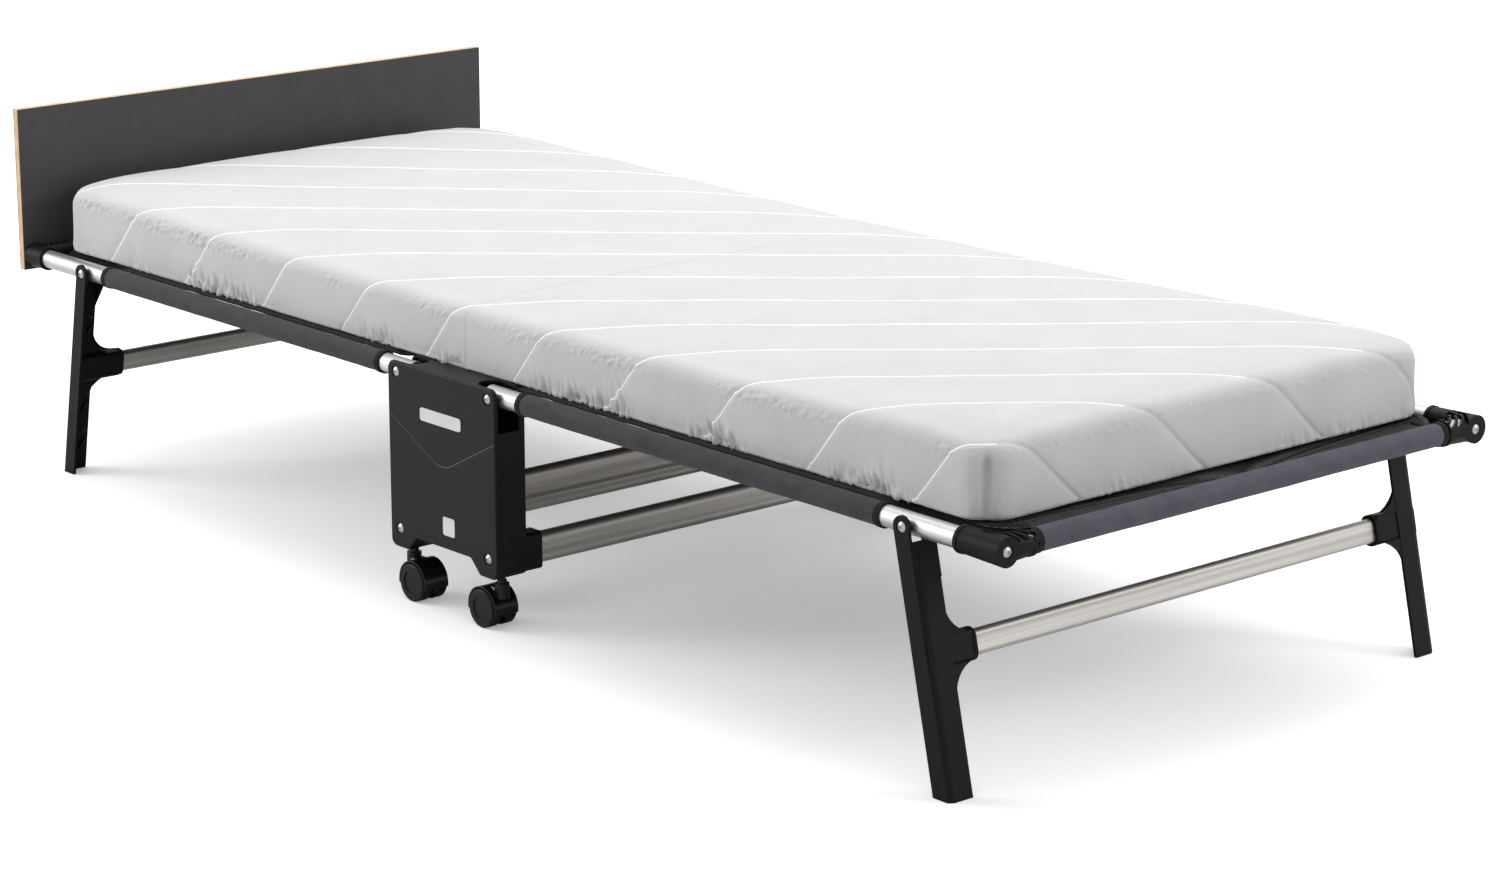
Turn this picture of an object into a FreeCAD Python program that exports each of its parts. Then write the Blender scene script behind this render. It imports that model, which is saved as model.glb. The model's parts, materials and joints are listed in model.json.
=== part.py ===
import FreeCAD, Part
import math
import os

from FreeCAD import Vector

# A rollaway bed: a centre unit on castors, with a head half and a foot half that fold up beside each other.
# X runs along the bed from head to foot, Y across it, Z up from the floor. Right is -Y and left is +Y.
# Pieces are drawn about the middle of the centre unit; export() moves them to the middle of the footprint.

# ---- whole bed ----
RAIL_Y = 393.0
RAIL_Z = 300.0
FOLD_X = 94.6
LEG_X = 840.0
FOOT_END_X = 987.0
HEADBOARD_FACE_X = 994.0

# ---- round tubes ----
TUBE_R = 12.7
TUBE_WALL = 1.5
RAIL_TAIL = 16.0
PLUG_CLEARANCE = 0.15
PLUG_LENGTH = 45.0
TUBE_FIT = 0.1

# ---- fasteners ----
PIVOT_R = 4.0
RUNNING = 0.06
SCREW_R = 3.0
SCREW_FIT = 0.1
HEAD_R = 6.4
HEAD_HEIGHT = 2.6
SOCKET_AF = 4.0
SOCKET_DEPTH = 1.8
RECESS_R = 7.6
COVER_RECESS = 1.6
HEAD_CLEARANCE = 0.1
THREAD_GAP = 0.02
CORNER_BOLT_LENGTH = 62.0
HEADBOARD_BOLT_LENGTH = 60.0
BAR_BOLT_GRIP = 24.0
BAR_BOLT_HOLE = 26.0
HOLE_SPARE = 9.0
NUT_AF = 13.0
NUT_HEIGHT = 6.0
NUT_GAP = 0.05
BOLT_TAIL = 1.5
SPACER_R = 7.5
SPACER_GAP = 0.2

# ---- centre housings ----
HOUSING_FACE_Y = 414.5
HOUSING_BACK_Y = 368.0
HOUSING_HALF_LENGTH = 111.0
HOUSING_TOP_Z = 314.0
HOUSING_LOBE_Z = 69.0
HOUSING_ARCH_Z = 88.0
HOUSING_ARCH_TOP_X = 56.0
HOUSING_ARCH_FOOT_X = 75.0
HOUSING_CORNER_R = 11.0
HOUSING_ARCH_R = 4.0
HOUSING_EDGE_R = 2.5
HOUSING_FACE_WALL = 4.0
HOUSING_SIDE_WALL = 3.0
HOUSING_BACK_WALL = 5.0
HOUSING_SEAM = 0.1
NOTCH_R = 16.5
NOTCH_X = 78.0
NOTCH_SILL_Z = 258.0
FLAP_SIDE_Z = 246.0
FLAP_POINT_Z = 189.0
FLAP_POINT_R = 45.0
FLAP_LINE_WIDTH = 1.4
FLAP_LINE_DEPTH = 0.8
BADGE_LENGTH = 84.0
BADGE_HEIGHT = 17.0
BADGE_Z = 256.0
BADGE_THICKNESS = 1.2
LABEL_SIZE = 24.0
LABEL_X = 13.0
LABEL_Z = 118.5
LABEL_THICKNESS = 0.4

# ---- crossbars of the centre unit ----
CENTRE_BAR_DEPTH = 20.0
CENTRE_BAR_HEIGHT = 40.0
CENTRE_BAR_WALL = 2.0
LOWER_BAR_X = 97.0
LOWER_BAR_Z = 97.0
LOWER_BOLT_X = 92.0
LOWER_BOLT_Z = 94.0
UPPER_BAR_X = 6.0
UPPER_BAR_Z = 150.0
BAR_SOCKET_WALL = 4.5
BAR_SOCKET_LENGTH = 25.0
BAR_SOCKET_R = 6.0
BAR_FIT = 0.2
BAR_END_GAP = 0.2
BAR_PLUG_GAP = 0.15
BAR_PLUG_LENGTH = 30.0
BAR_GROOVE = 0.8
BAR_GROOVES_BELOW_MIDDLE = (6.0, 8.5)
OVAL_ROUNDING = 0.45

# ---- castors ----
CASTOR_X = 92.0
CASTOR_Y = 392.5
CASTOR_TRAIL = 19.0
WHEEL_R = 25.0
WHEEL_WIDTH = 16.5
WHEEL_GAP = 7.0
HOOD_R = 28.5
HOOD_WALL = 2.0
STEM_R = 4.5
STEM_TOP_Z = 86.0
COLLAR_Z = 59.5
COLLAR_R = 6.2
COLLAR_HEIGHT = 4.5
AXLE_R = 3.0
CASTOR_BOSS_R = 9.5
CASTOR_BOSS_FOOT_Z = 40.0
CASTOR_SHOULDER_Z = 55.0
CASTOR_SHOULDER_R = 6.0
CASTOR_BLOCK_X = 11.0
CASTOR_BLOCK_Y = 10.0
TREAD_R = 2.5
DISH_DEPTH = 1.2
DISH_SHARE = 0.62

# ---- legs ----
FOOT_SPLAY_DEG = 13.0
HEAD_SPLAY_DEG = 10.4
LEG_FACE_Y = 413.0
LEG_WALL = 4.0
LEG_WEB_WIDTH = 35.0
LEG_WEB_X = 14.5
LEG_CORNER_R = 9.0
LEG_FREE_EDGE_X = 13.0
LEG_WEB_TOP = 17.6
LEG_EAR_R = 11.0
LEG_EAR_DROP = 62.0
LEG_EAR_THICKNESS = 3.4
LEG_EAR_GAP = 0.3
LEG_BAR_DROP = 145.0
LEG_BAR_X = 2.0
LEG_BAR_DEPTH = 15.0
LEG_BAR_HEIGHT = 30.0
LEG_SOCKET_WALL = 3.6
LEG_SOCKET_Y = 343.0
LEG_SOCKET_R = 5.5
LEG_BAR_WALL = 1.5
LEG_GUSSET_HEIGHT = 44.0
LEG_GUSSET_THICKNESS = 3.0
LEG_GUSSET_EDGE = 3.0
LEG_GUSSET_TAPER = 20.0
LEG_RIB_COUNT = 8
LEG_RIB_THICKNESS = 1.8
LEG_RIB_DEG = 32.0
LEG_RIB_X = 3.0
LEG_RIB_EDGE = 2.0
LEG_RIB_EDGE_CUT = 12.0
LEG_COLLAR_LENGTH = 5.0
LEG_COLLAR_LIP = 0.8
LEG_BOLT_SINK = 0.9
LEG_WASHER_R = 8.0

# ---- corner connectors and end tubes ----
FOOT_TUBE_X = 971.6
FOOT_BOLT_SINK = 0.9
HEAD_TUBE_X = 978.4
CORNER_R = 15.3
CORNER_END_R = 17.6
FOOT_BARREL_LENGTH = 70.0
HEAD_BARREL_LENGTH = 40.0
BARREL_BORE_SHARE = 0.5
BARREL_STOP_GAP = 0.5
LIP_LENGTH = 5.0
LIP_HEIGHT = 1.2
POCKET_COUNT = 4
POCKET_FIRST_R = 27.0
POCKET_PITCH = 8.0
POCKET_WIDTH = 5.0
POCKET_FLOOR = 8.0
POCKET_START_DEG = -88.0
POCKET_END_DEG = -12.0
POCKET_CENTRE_SHARE = 0.42
POCKET_CENTRE_INSET = 6.0
END_BARREL_Y = 346.0
TUBE_STOP = 378.0

# ---- headboard ----
HEADBOARD_WIDTH = 820.0
HEADBOARD_BOTTOM_Z = 279.5
HEADBOARD_TOP_Z = 511.5
HEADBOARD_CORE = 10.0
LAMINATE = 1.0

# ---- fabric and mattress ----
SLEEVE_R = 14.0
SLEEVE_GAP = 0.1
SLEEVE_START_X = 150.0
SLEEVE_END_X = 788.0
BINDING_R = 15.0
BINDING_LENGTH = 8.0
BINDING_GAP = 2.0
DECK_Z = 308.6
DECK_THICKNESS = 2.0
DECK_HALF_WIDTH = 381.8
DECK_PIVOT_GAP = 2.0
DECK_NECK_Y = 364.0
DECK_CORNER_Y = 334.0
DECK_END_Y = 312.0
DECK_CENTRE_HALF = 80.6
MATTRESS_BOTTOM_Z = 312.0
MATTRESS_TOP_Z = 393.5
MATTRESS_HALF_WIDTH = 378.0
MATTRESS_WAIST_HALF_WIDTH = 365.0
MATTRESS_HEAD_X = 958.0
MATTRESS_FOOT_X = 930.0
MATTRESS_SPLIT_X = 113.0
MATTRESS_SPLIT_GAP = 0.5
MATTRESS_CORNER_R = 30.0
MATTRESS_EDGE_R = 14.0

HEADBOARD_BACK_X = HEADBOARD_FACE_X + HEADBOARD_CORE + 2 * LAMINATE
FOOTPRINT_SHIFT = (HEADBOARD_BACK_X - FOOT_END_X + FOOT_BOLT_SINK) / 2


def box(x0, x1, y0, y1, z0, z1):
    """A block between two corners."""
    return Part.makeBox(x1 - x0, y1 - y0, z1 - z0, Vector(x0, y0, z0))


def rod_x(x0, x1, y, z, radius):
    """A round bar along X."""
    return Part.makeCylinder(radius, x1 - x0, Vector(x0, y, z), Vector(1, 0, 0))


def rod_y(y0, y1, x, z, radius):
    """A round bar along Y."""
    return Part.makeCylinder(radius, y1 - y0, Vector(x, y0, z), Vector(0, 1, 0))


def rod_z(z0, z1, x, y, radius):
    """A round bar along Z."""
    return Part.makeCylinder(radius, z1 - z0, Vector(x, y, z0), Vector(0, 0, 1))


def mirror_x(shape):
    """The shape on the other end of the bed."""
    return shape.mirror(Vector(0, 0, 0), Vector(1, 0, 0))


def mirror_y(shape):
    """The shape on the other side of the bed."""
    return shape.mirror(Vector(0, 0, 0), Vector(0, 1, 0))


def both_sides(shape):
    """A right-hand solid and its left-hand twin, as separate solids."""
    return Part.makeCompound([shape, mirror_y(shape)])


def fuse(first, *others):
    """One solid from overlapping ones."""
    return first.multiFuse(list(others)).removeSplitter()


def cut(shape, *tools):
    """The shape less the tools."""
    return shape.cut(Part.makeCompound(list(tools))) if len(tools) == 1 else shape.cut(list(tools))


def prism_y(points, y0, y1):
    """A polygon of (x, z) points, extruded from y0 to y1."""
    wire = Part.makePolygon([Vector(x, y0, z) for x, z in points + points[:1]])
    return Part.Face(wire).extrude(Vector(0, y1 - y0, 0))


def rounded_block(x0, x1, y0, y1, z0, z1, radius, along):
    """A block with its four edges along one axis rounded."""
    block = box(x0, x1, y0, y1, z0, z1)
    edges = [e for e in block.Edges if abs(e.tangentAt(e.FirstParameter).dot(along)) > 0.99]
    return block.makeFillet(radius, edges)


def oval_y(y0, y1, x, z, depth, height):
    """A flat bar along Y whose top and bottom are rounded."""
    return rounded_block(
        x - depth / 2, x + depth / 2, y0, y1, z - height / 2, z + height / 2, depth * OVAL_ROUNDING,
        Vector(0, 1, 0),
    )


def hexagon(across_flats, start, direction, length):
    """A hexagonal prism from a start point along an axis."""
    radius = across_flats / math.sqrt(3)
    placement = FreeCAD.Placement(start, FreeCAD.Rotation(Vector(0, 0, 1), direction))
    corners = [
        placement.multVec(Vector(radius * math.cos(a), radius * math.sin(a), 0))
        for a in [math.radians(60 * i) for i in range(7)]
    ]
    return Part.Face(Part.makePolygon(corners)).extrude(direction * length)


def button_screw(seat, inward, length, radius):
    """A domed socket screw: seat is under its head, and its shank runs inward."""
    outward = inward * -1
    dome_r = (HEAD_R**2 + HEAD_HEIGHT**2) / (2 * HEAD_HEIGHT)
    ball = Part.makeSphere(dome_r, seat + inward * (dome_r - HEAD_HEIGHT))
    head = Part.makeCylinder(HEAD_R, HEAD_HEIGHT, seat, outward).common(ball)
    shank = Part.makeCylinder(radius, length, seat, inward)
    socket = hexagon(SOCKET_AF, seat + outward * (HEAD_HEIGHT - SOCKET_DEPTH), outward, HEAD_HEIGHT)
    return cut(fuse(head, shank), socket)


def ring(start, direction, length, outer, inner):
    """A plain ring, such as a spacer or a binding."""
    return Part.makeCylinder(outer, length, start, direction).cut(
        Part.makeCylinder(inner, length, start, direction)
    )


# ---- frame halves ----


def rail(end_x):
    """A right-hand side rail from its fold pivot to its corner connector, on the foot side."""
    start = FOLD_X - RAIL_TAIL
    tube = rod_x(start, end_x, -RAIL_Y, RAIL_Z, TUBE_R)
    bore = rod_x(start, end_x, -RAIL_Y, RAIL_Z, TUBE_R - TUBE_WALL)
    pivot = rod_y(-RAIL_Y - TUBE_R, -RAIL_Y + TUBE_R, FOLD_X, RAIL_Z, PIVOT_R + RUNNING)
    leg_hole = rod_y(-RAIL_Y - TUBE_R, -RAIL_Y + TUBE_R, LEG_X, RAIL_Z, PIVOT_R + SCREW_FIT)
    return cut(tube, bore, pivot, leg_hole)


def rail_plug(start, bolt_hole):
    """A moulded plug inside a rail end, bored for the bolt that passes through it."""
    plug = rod_x(start, start + PLUG_LENGTH, -RAIL_Y, RAIL_Z, TUBE_R - TUBE_WALL - PLUG_CLEARANCE)
    return cut(plug, bolt_hole)


def rail_plugs(rail_end, corner_bolt):
    """The plugs at the fold pivot and at the corner, on both sides."""
    pivot = rod_y(-RAIL_Y - TUBE_R, -RAIL_Y + TUBE_R, FOLD_X, RAIL_Z, PIVOT_R + RUNNING)
    inner = rail_plug(FOLD_X - RAIL_TAIL, pivot)
    outer = rail_plug(rail_end - PLUG_LENGTH, corner_bolt)
    return Part.makeCompound([both_sides(inner), both_sides(outer)])


def end_tube(x):
    """The tube across the end of a half."""
    tube = rod_y(-TUBE_STOP, TUBE_STOP, x, RAIL_Z, TUBE_R)
    return tube.cut(rod_y(-TUBE_STOP, TUBE_STOP, x, RAIL_Z, TUBE_R - TUBE_WALL))


def corner(tube_x, end_x, barrel_length, bolt_hole):
    """A right-hand moulded elbow that joins a rail to the end tube, with pockets between curved ribs."""
    start = end_x - barrel_length
    inward = -END_BARREL_Y
    side = Part.makeCone(
        CORNER_R, CORNER_END_R, barrel_length, Vector(start, -RAIL_Y, RAIL_Z), Vector(1, 0, 0)
    )
    end = Part.makeCone(
        CORNER_END_R, CORNER_R, RAIL_Y + inward, Vector(tube_x, -RAIL_Y, RAIL_Z), Vector(0, 1, 0)
    )
    lip_side = rod_x(start, start + LIP_LENGTH, -RAIL_Y, RAIL_Z, CORNER_R + LIP_HEIGHT)
    lip_end = rod_y(inward - LIP_LENGTH, inward, tube_x, RAIL_Z, CORNER_R + LIP_HEIGHT)
    reach = CORNER_END_R + 2 * LIP_HEIGHT
    limits = box(start, end_x, -RAIL_Y - reach, inward, RAIL_Z - reach, RAIL_Z + reach)
    elbow = fuse(side, end, lip_side, lip_end).common(limits)
    bore_end = start + barrel_length * BARREL_BORE_SHARE
    rail_bore = rod_x(start - 1, bore_end, -RAIL_Y, RAIL_Z, TUBE_R + TUBE_FIT)
    tube_bore = rod_y(-TUBE_STOP, inward + 1, tube_x, RAIL_Z, TUBE_R + TUBE_FIT)
    centre = Vector(
        start + barrel_length * POCKET_CENTRE_SHARE, inward + POCKET_CENTRE_INSET, RAIL_Z + POCKET_FLOOR
    )
    pockets = []
    for i in range(POCKET_COUNT):
        inner = POCKET_FIRST_R + POCKET_PITCH * i
        pocket = ring(centre, Vector(0, 0, 1), CORNER_R, inner + POCKET_WIDTH, inner)
        wedge = prism_wedge(centre, CORNER_R, 2 * inner, POCKET_START_DEG, POCKET_END_DEG)
        pockets.append(pocket.common(wedge))
    return cut(elbow, rail_bore, tube_bore, bolt_hole, *pockets)


def prism_wedge(centre, height, radius, start_deg, end_deg):
    """A pie slice about Z, used to limit a curved pocket."""
    start = Vector(math.cos(math.radians(start_deg)), math.sin(math.radians(start_deg)), 0)
    end = Vector(math.cos(math.radians(end_deg)), math.sin(math.radians(end_deg)), 0)
    middle = (start + end).normalize()
    corners = [centre, centre + start * radius, centre + middle * radius, centre + end * radius, centre]
    return Part.Face(Part.makePolygon(corners)).extrude(Vector(0, 0, height))


def foot_corner_hole():
    """The corner bolt's hole through the foot connector and into the rail plug."""
    start = FOOT_END_X - CORNER_BOLT_LENGTH - HOLE_SPARE
    return fuse(
        rod_x(start, FOOT_END_X, -RAIL_Y, RAIL_Z, SCREW_R + SCREW_FIT),
        rod_x(FOOT_END_X - FOOT_BOLT_SINK - HEAD_CLEARANCE, FOOT_END_X, -RAIL_Y, RAIL_Z, RECESS_R),
    )


def head_corner_hole():
    """The headboard bolt's hole through the head connector and into the rail plug, on the foot side of X."""
    start = HEADBOARD_BACK_X - HEADBOARD_BOLT_LENGTH - HOLE_SPARE
    return rod_x(start, HEADBOARD_FACE_X, -RAIL_Y, RAIL_Z, SCREW_R + SCREW_FIT)


def side_sleeve():
    """The fabric sleeve round a right-hand rail."""
    start = Vector(SLEEVE_START_X, -RAIL_Y, RAIL_Z)
    return ring(start, Vector(1, 0, 0), SLEEVE_END_X - SLEEVE_START_X, SLEEVE_R, TUBE_R + SLEEVE_GAP)


def end_sleeve(x):
    """The fabric sleeve round an end tube."""
    half = END_BARREL_Y - BINDING_LENGTH - BINDING_GAP
    return ring(Vector(x, -half, RAIL_Z), Vector(0, 1, 0), 2 * half, SLEEVE_R, TUBE_R + SLEEVE_GAP)


def sleeve_bindings(tube_x):
    """The stitched binding rings that finish each sleeve end of one half."""
    inner = TUBE_R + SLEEVE_GAP
    along = Vector(1, 0, 0)
    near_start = SLEEVE_START_X - BINDING_LENGTH
    near = ring(Vector(near_start, -RAIL_Y, RAIL_Z), along, BINDING_LENGTH, BINDING_R, inner)
    far = ring(Vector(SLEEVE_END_X, -RAIL_Y, RAIL_Z), along, BINDING_LENGTH, BINDING_R, inner)
    end_y = -END_BARREL_Y + BINDING_GAP
    end = ring(Vector(tube_x, end_y, RAIL_Z), Vector(0, 1, 0), BINDING_LENGTH, BINDING_R, inner)
    return Part.makeCompound([both_sides(near), both_sides(far), both_sides(end)])


def deck_panel(tube_x):
    """The mesh panel of one half, narrowed round the leg pivots and chamfered at its corners."""
    start = FOLD_X + DECK_PIVOT_GAP
    end = tube_x - SLEEVE_R + DECK_PIVOT_GAP
    half = [
        (start, DECK_NECK_Y),
        (SLEEVE_START_X - BINDING_LENGTH, DECK_NECK_Y),
        (SLEEVE_START_X + 5, DECK_HALF_WIDTH),
        (SLEEVE_END_X - 5, DECK_HALF_WIDTH),
        (SLEEVE_END_X + 18, DECK_NECK_Y),
        (end - 60, DECK_NECK_Y - 10),
        (end - 18, DECK_CORNER_Y),
        (end, DECK_END_Y),
    ]
    outline = [(x, -y) for x, y in half] + [(x, y) for x, y in reversed(half)]
    wire = Part.makePolygon([Vector(x, y, DECK_Z) for x, y in outline + outline[:1]])
    return Part.Face(wire).extrude(Vector(0, 0, DECK_THICKNESS))


def deck_centre():
    """The mesh strip over the centre unit."""
    half = DECK_CENTRE_HALF
    return box(-half, half, -DECK_NECK_Y, DECK_NECK_Y, DECK_Z, DECK_Z + DECK_THICKNESS)


def mattress_part(x0, x1, width, rounded_at):
    """One length of the mattress core; rounded_at lists the ends whose corners are rounded."""
    block = box(x0, x1, -width, width, MATTRESS_BOTTOM_Z, MATTRESS_TOP_Z)
    upright = [
        e
        for e in block.Edges
        if abs(e.tangentAt(e.FirstParameter).z) > 0.99 and round(e.CenterOfMass.x, 3) in rounded_at
    ]
    if upright:
        block = block.makeFillet(MATTRESS_CORNER_R, upright)
    split_faces = [x for x in (x0, x1) if x not in rounded_at]
    rims = [
        e
        for e in block.Edges
        if abs(e.CenterOfMass.z - (MATTRESS_BOTTOM_Z + MATTRESS_TOP_Z) / 2) > 1
        and all(abs(e.CenterOfMass.x - x) > 0.01 for x in split_faces)
    ]
    return block.makeFillet(MATTRESS_EDGE_R, rims)


# ---- headboard ----


def headboard_layer(x0, x1):
    """One layer of the headboard, drilled for its two bolts, on the foot side of X."""
    half = HEADBOARD_WIDTH / 2
    layer = box(x0, x1, -half, half, HEADBOARD_BOTTOM_Z, HEADBOARD_TOP_Z)
    holes = both_sides(rod_x(x0, x1, -RAIL_Y, RAIL_Z, SCREW_R + SCREW_FIT))
    return layer.cut(holes)


# ---- legs ----


def leg_local(length):
    """A right-hand leg hanging straight down from its pivot at the origin, its web towards the bed's end."""
    face = -LEG_FACE_Y
    inner_face = face + LEG_WALL
    web_in = LEG_WEB_X - LEG_WALL
    web_edge = face + LEG_WEB_WIDTH
    flange = box(-LEG_FREE_EDGE_X, web_in, face, inner_face, -length, 0)
    tab = rod_y(face, inner_face, 0, 0, LEG_FREE_EDGE_X)
    web = box(web_in - LEG_CORNER_R, LEG_WEB_X, face, web_edge, -length, -LEG_WEB_TOP)
    corner_edges = [
        e
        for e in web.Edges
        if abs(e.tangentAt(e.FirstParameter).z) > 0.99
        and e.CenterOfMass.x > LEG_WEB_X - 0.1
        and e.CenterOfMass.y < face + 0.1
    ]
    web = web.makeFillet(LEG_CORNER_R, corner_edges)
    hollow = box(-LEG_FREE_EDGE_X - 1, web_in, inner_face, web_edge + 1, -length - 1, -LEG_WEB_TOP + 1)
    ear_outer = -RAIL_Y + TUBE_R + LEG_EAR_GAP
    ear_inner = ear_outer + LEG_EAR_THICKNESS
    ear = prism_y(
        [
            (-LEG_EAR_R, 0),
            (LEG_EAR_R, 0),
            (LEG_WEB_X, -LEG_WEB_TOP),
            (LEG_WEB_X, -LEG_EAR_DROP),
            (-LEG_EAR_R, -LEG_EAR_R),
        ],
        ear_outer,
        ear_inner,
    )
    ear_top = rod_y(ear_outer, ear_inner, 0, 0, LEG_EAR_R)
    body = fuse(flange, tab, web.cut(hollow), ear, ear_top)
    return fuse(body, leg_socket(), *leg_gussets(), *leg_ribs(length))


def leg_socket():
    """The moulded socket that takes the crossbar's end."""
    half_depth = LEG_BAR_DEPTH / 2 + LEG_SOCKET_WALL
    half_height = LEG_BAR_HEIGHT / 2 + LEG_SOCKET_WALL
    return rounded_block(
        LEG_BAR_X - half_depth, LEG_BAR_X + half_depth, -LEG_FACE_Y + LEG_WALL / 2, -LEG_SOCKET_Y,
        -LEG_BAR_DROP - half_height, -LEG_BAR_DROP + half_height, LEG_SOCKET_R, Vector(0, 1, 0),
    )


def leg_gussets():
    """The thin curved webs above and below the socket, one in line with the leg's web and one behind it."""
    half = LEG_BAR_HEIGHT / 2 + LEG_SOCKET_WALL
    root_y = -LEG_FACE_Y + LEG_WEB_WIDTH - LEG_GUSSET_EDGE
    edge_y = root_y + LEG_GUSSET_EDGE
    tip_y = -LEG_SOCKET_Y - LEG_GUSSET_EDGE
    pieces = []
    for sign in (1, -1):
        base_z = -LEG_BAR_DROP + sign * (half - 2)
        far_z = -LEG_BAR_DROP + sign * (half + LEG_GUSSET_HEIGHT)
        bulge_z = base_z + (far_z - base_z) * 0.36
        for x, inner_y, end_y in (
            (LEG_WEB_X - LEG_GUSSET_THICKNESS - 0.5, root_y, edge_y),
            (LEG_BAR_X - 1, -LEG_FACE_Y + LEG_WALL / 2, edge_y - LEG_GUSSET_TAPER),
        ):
            tip = Vector(x, tip_y, base_z)
            bulge = Vector(x, root_y + 8 - (edge_y - end_y) / 2, bulge_z)
            far_edge = Vector(x, end_y, far_z)
            far_root = Vector(x, inner_y, far_z)
            near_root = Vector(x, inner_y, base_z)
            outline = Part.Wire(
                [
                    Part.Arc(tip, bulge, far_edge).toShape(),
                    Part.makeLine(far_edge, far_root),
                    Part.makeLine(far_root, near_root),
                    Part.makeLine(near_root, tip),
                ]
            )
            pieces.append(Part.Face(outline).extrude(Vector(LEG_GUSSET_THICKNESS, 0, 0)))
    return pieces


def leg_ribs(length):
    """Low zigzag ribs inside the leg's angle."""
    ribs = []
    first = LEG_EAR_DROP + 4
    pitch = (length - 55 - first) / (LEG_RIB_COUNT - 1)
    face = -LEG_FACE_Y
    half = LEG_RIB_THICKNESS / 2
    edge = face + LEG_WEB_WIDTH - LEG_RIB_EDGE
    web_in = LEG_WEB_X - LEG_WALL
    root_x = web_in + 1
    root_y = face + LEG_WALL - 1
    outline = [
        Vector(LEG_RIB_X, root_y, -LEG_WEB_TOP),
        Vector(root_x, root_y, -LEG_WEB_TOP),
        Vector(root_x, edge, -LEG_WEB_TOP),
        Vector(web_in, edge, -LEG_WEB_TOP),
        Vector(LEG_RIB_X, edge - LEG_RIB_EDGE_CUT, -LEG_WEB_TOP),
    ]
    outline.append(outline[0])
    inside = Part.Face(Part.makePolygon(outline)).extrude(Vector(0, 0, -length))
    for i in range(LEG_RIB_COUNT):
        plate = box(0, LEG_WEB_X, -LEG_WEB_WIDTH, LEG_WEB_WIDTH, -half, half)
        plate.rotate(Vector(0, 0, 0), Vector(1, 0, 0), LEG_RIB_DEG if i % 2 else -LEG_RIB_DEG)
        plate.translate(Vector(0, face + LEG_WEB_WIDTH / 2, -first - pitch * i))
        ribs.append(plate.common(inside))
    return ribs


def place_leg(shape, splay_deg):
    """Tilts a local leg shape to its splay and sets it under the foot-side leg pivot."""
    placed = shape.copy()
    placed.rotate(Vector(0, 0, 0), Vector(0, 1, 0), -splay_deg)
    placed.translate(Vector(LEG_X, 0, RAIL_Z))
    return placed


def leg(splay_deg):
    """A right-hand foot leg in place, drilled for its pivot and cut level with the floor."""
    length = RAIL_Z / math.cos(math.radians(splay_deg)) + 20
    face = -LEG_FACE_Y
    bar_hole = oval_y(
        face + LEG_WALL + 3, -LEG_SOCKET_Y + 1, LEG_BAR_X, -LEG_BAR_DROP, LEG_BAR_DEPTH + BAR_FIT,
        LEG_BAR_HEIGHT + BAR_FIT,
    )
    pivot = rod_y(face - 1, face + LEG_WEB_WIDTH + 3, 0, 0, PIVOT_R + RUNNING)
    recess = rod_y(face - 1, face + LEG_BOLT_SINK + HEAD_CLEARANCE, 0, 0, RECESS_R)
    placed = place_leg(cut(leg_local(length), bar_hole, pivot, recess), splay_deg)
    below_floor = box(LEG_X - 100, LEG_X + 200, face - 1, -LEG_SOCKET_Y + 1, -100, 0)
    return placed.cut(below_floor)


def leg_crossbar(splay_deg):
    """The flat-oval tube between a pair of legs."""
    end = LEG_FACE_Y - LEG_WALL - 3 - BAR_END_GAP
    outer = oval_y(-end, end, LEG_BAR_X, -LEG_BAR_DROP, LEG_BAR_DEPTH, LEG_BAR_HEIGHT)
    walls = 2 * LEG_BAR_WALL
    inner = oval_y(-end, end, LEG_BAR_X, -LEG_BAR_DROP, LEG_BAR_DEPTH - walls, LEG_BAR_HEIGHT - walls)
    return place_leg(outer.cut(inner), splay_deg)


def leg_collar(splay_deg):
    """The rubber collar at the mouth of a leg socket."""
    y0 = -LEG_SOCKET_Y + HEAD_CLEARANCE
    y1 = y0 + LEG_COLLAR_LENGTH
    border = 2 * (LEG_SOCKET_WALL + LEG_COLLAR_LIP)
    outer = oval_y(y0, y1, LEG_BAR_X, -LEG_BAR_DROP, LEG_BAR_DEPTH + border, LEG_BAR_HEIGHT + border)
    hole = oval_y(y0, y1, LEG_BAR_X, -LEG_BAR_DROP, LEG_BAR_DEPTH + BAR_FIT, LEG_BAR_HEIGHT + BAR_FIT)
    return place_leg(outer.cut(hole), splay_deg)


def leg_bolt():
    """A leg pivot bolt: its head sits in the leg's recess and its shank passes through leg, rail and ear."""
    seat = Vector(LEG_X, -LEG_FACE_Y + LEG_BOLT_SINK, RAIL_Z)
    return button_screw(seat, Vector(0, 1, 0), LEG_WEB_WIDTH + 4, PIVOT_R)


def leg_spacers():
    """The washers between each leg and its rail."""
    start = -LEG_FACE_Y + LEG_WALL + TUBE_FIT
    length = -RAIL_Y - TUBE_R - TUBE_FIT - start
    washer = ring(Vector(LEG_X, start, RAIL_Z), Vector(0, 1, 0), length, LEG_WASHER_R, PIVOT_R + SCREW_FIT)
    return both_sides(washer)


# ---- centre unit ----


def housing_outline(grow):
    """The housing's side view as a closed wire: two lobes over the castors and an arch between them."""
    half = HOUSING_HALF_LENGTH + grow
    top = HOUSING_TOP_Z + grow
    lobe = HOUSING_LOBE_Z - grow
    arch = HOUSING_ARCH_Z - grow
    points = [
        (-half, lobe),
        (-half, top),
        (half, top),
        (half, lobe),
        (HOUSING_ARCH_FOOT_X + grow * 0.5, lobe),
        (HOUSING_ARCH_TOP_X + grow * 0.5, arch),
        (-HOUSING_ARCH_TOP_X - grow * 0.5, arch),
        (-HOUSING_ARCH_FOOT_X - grow * 0.5, lobe),
    ]
    return points


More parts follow.
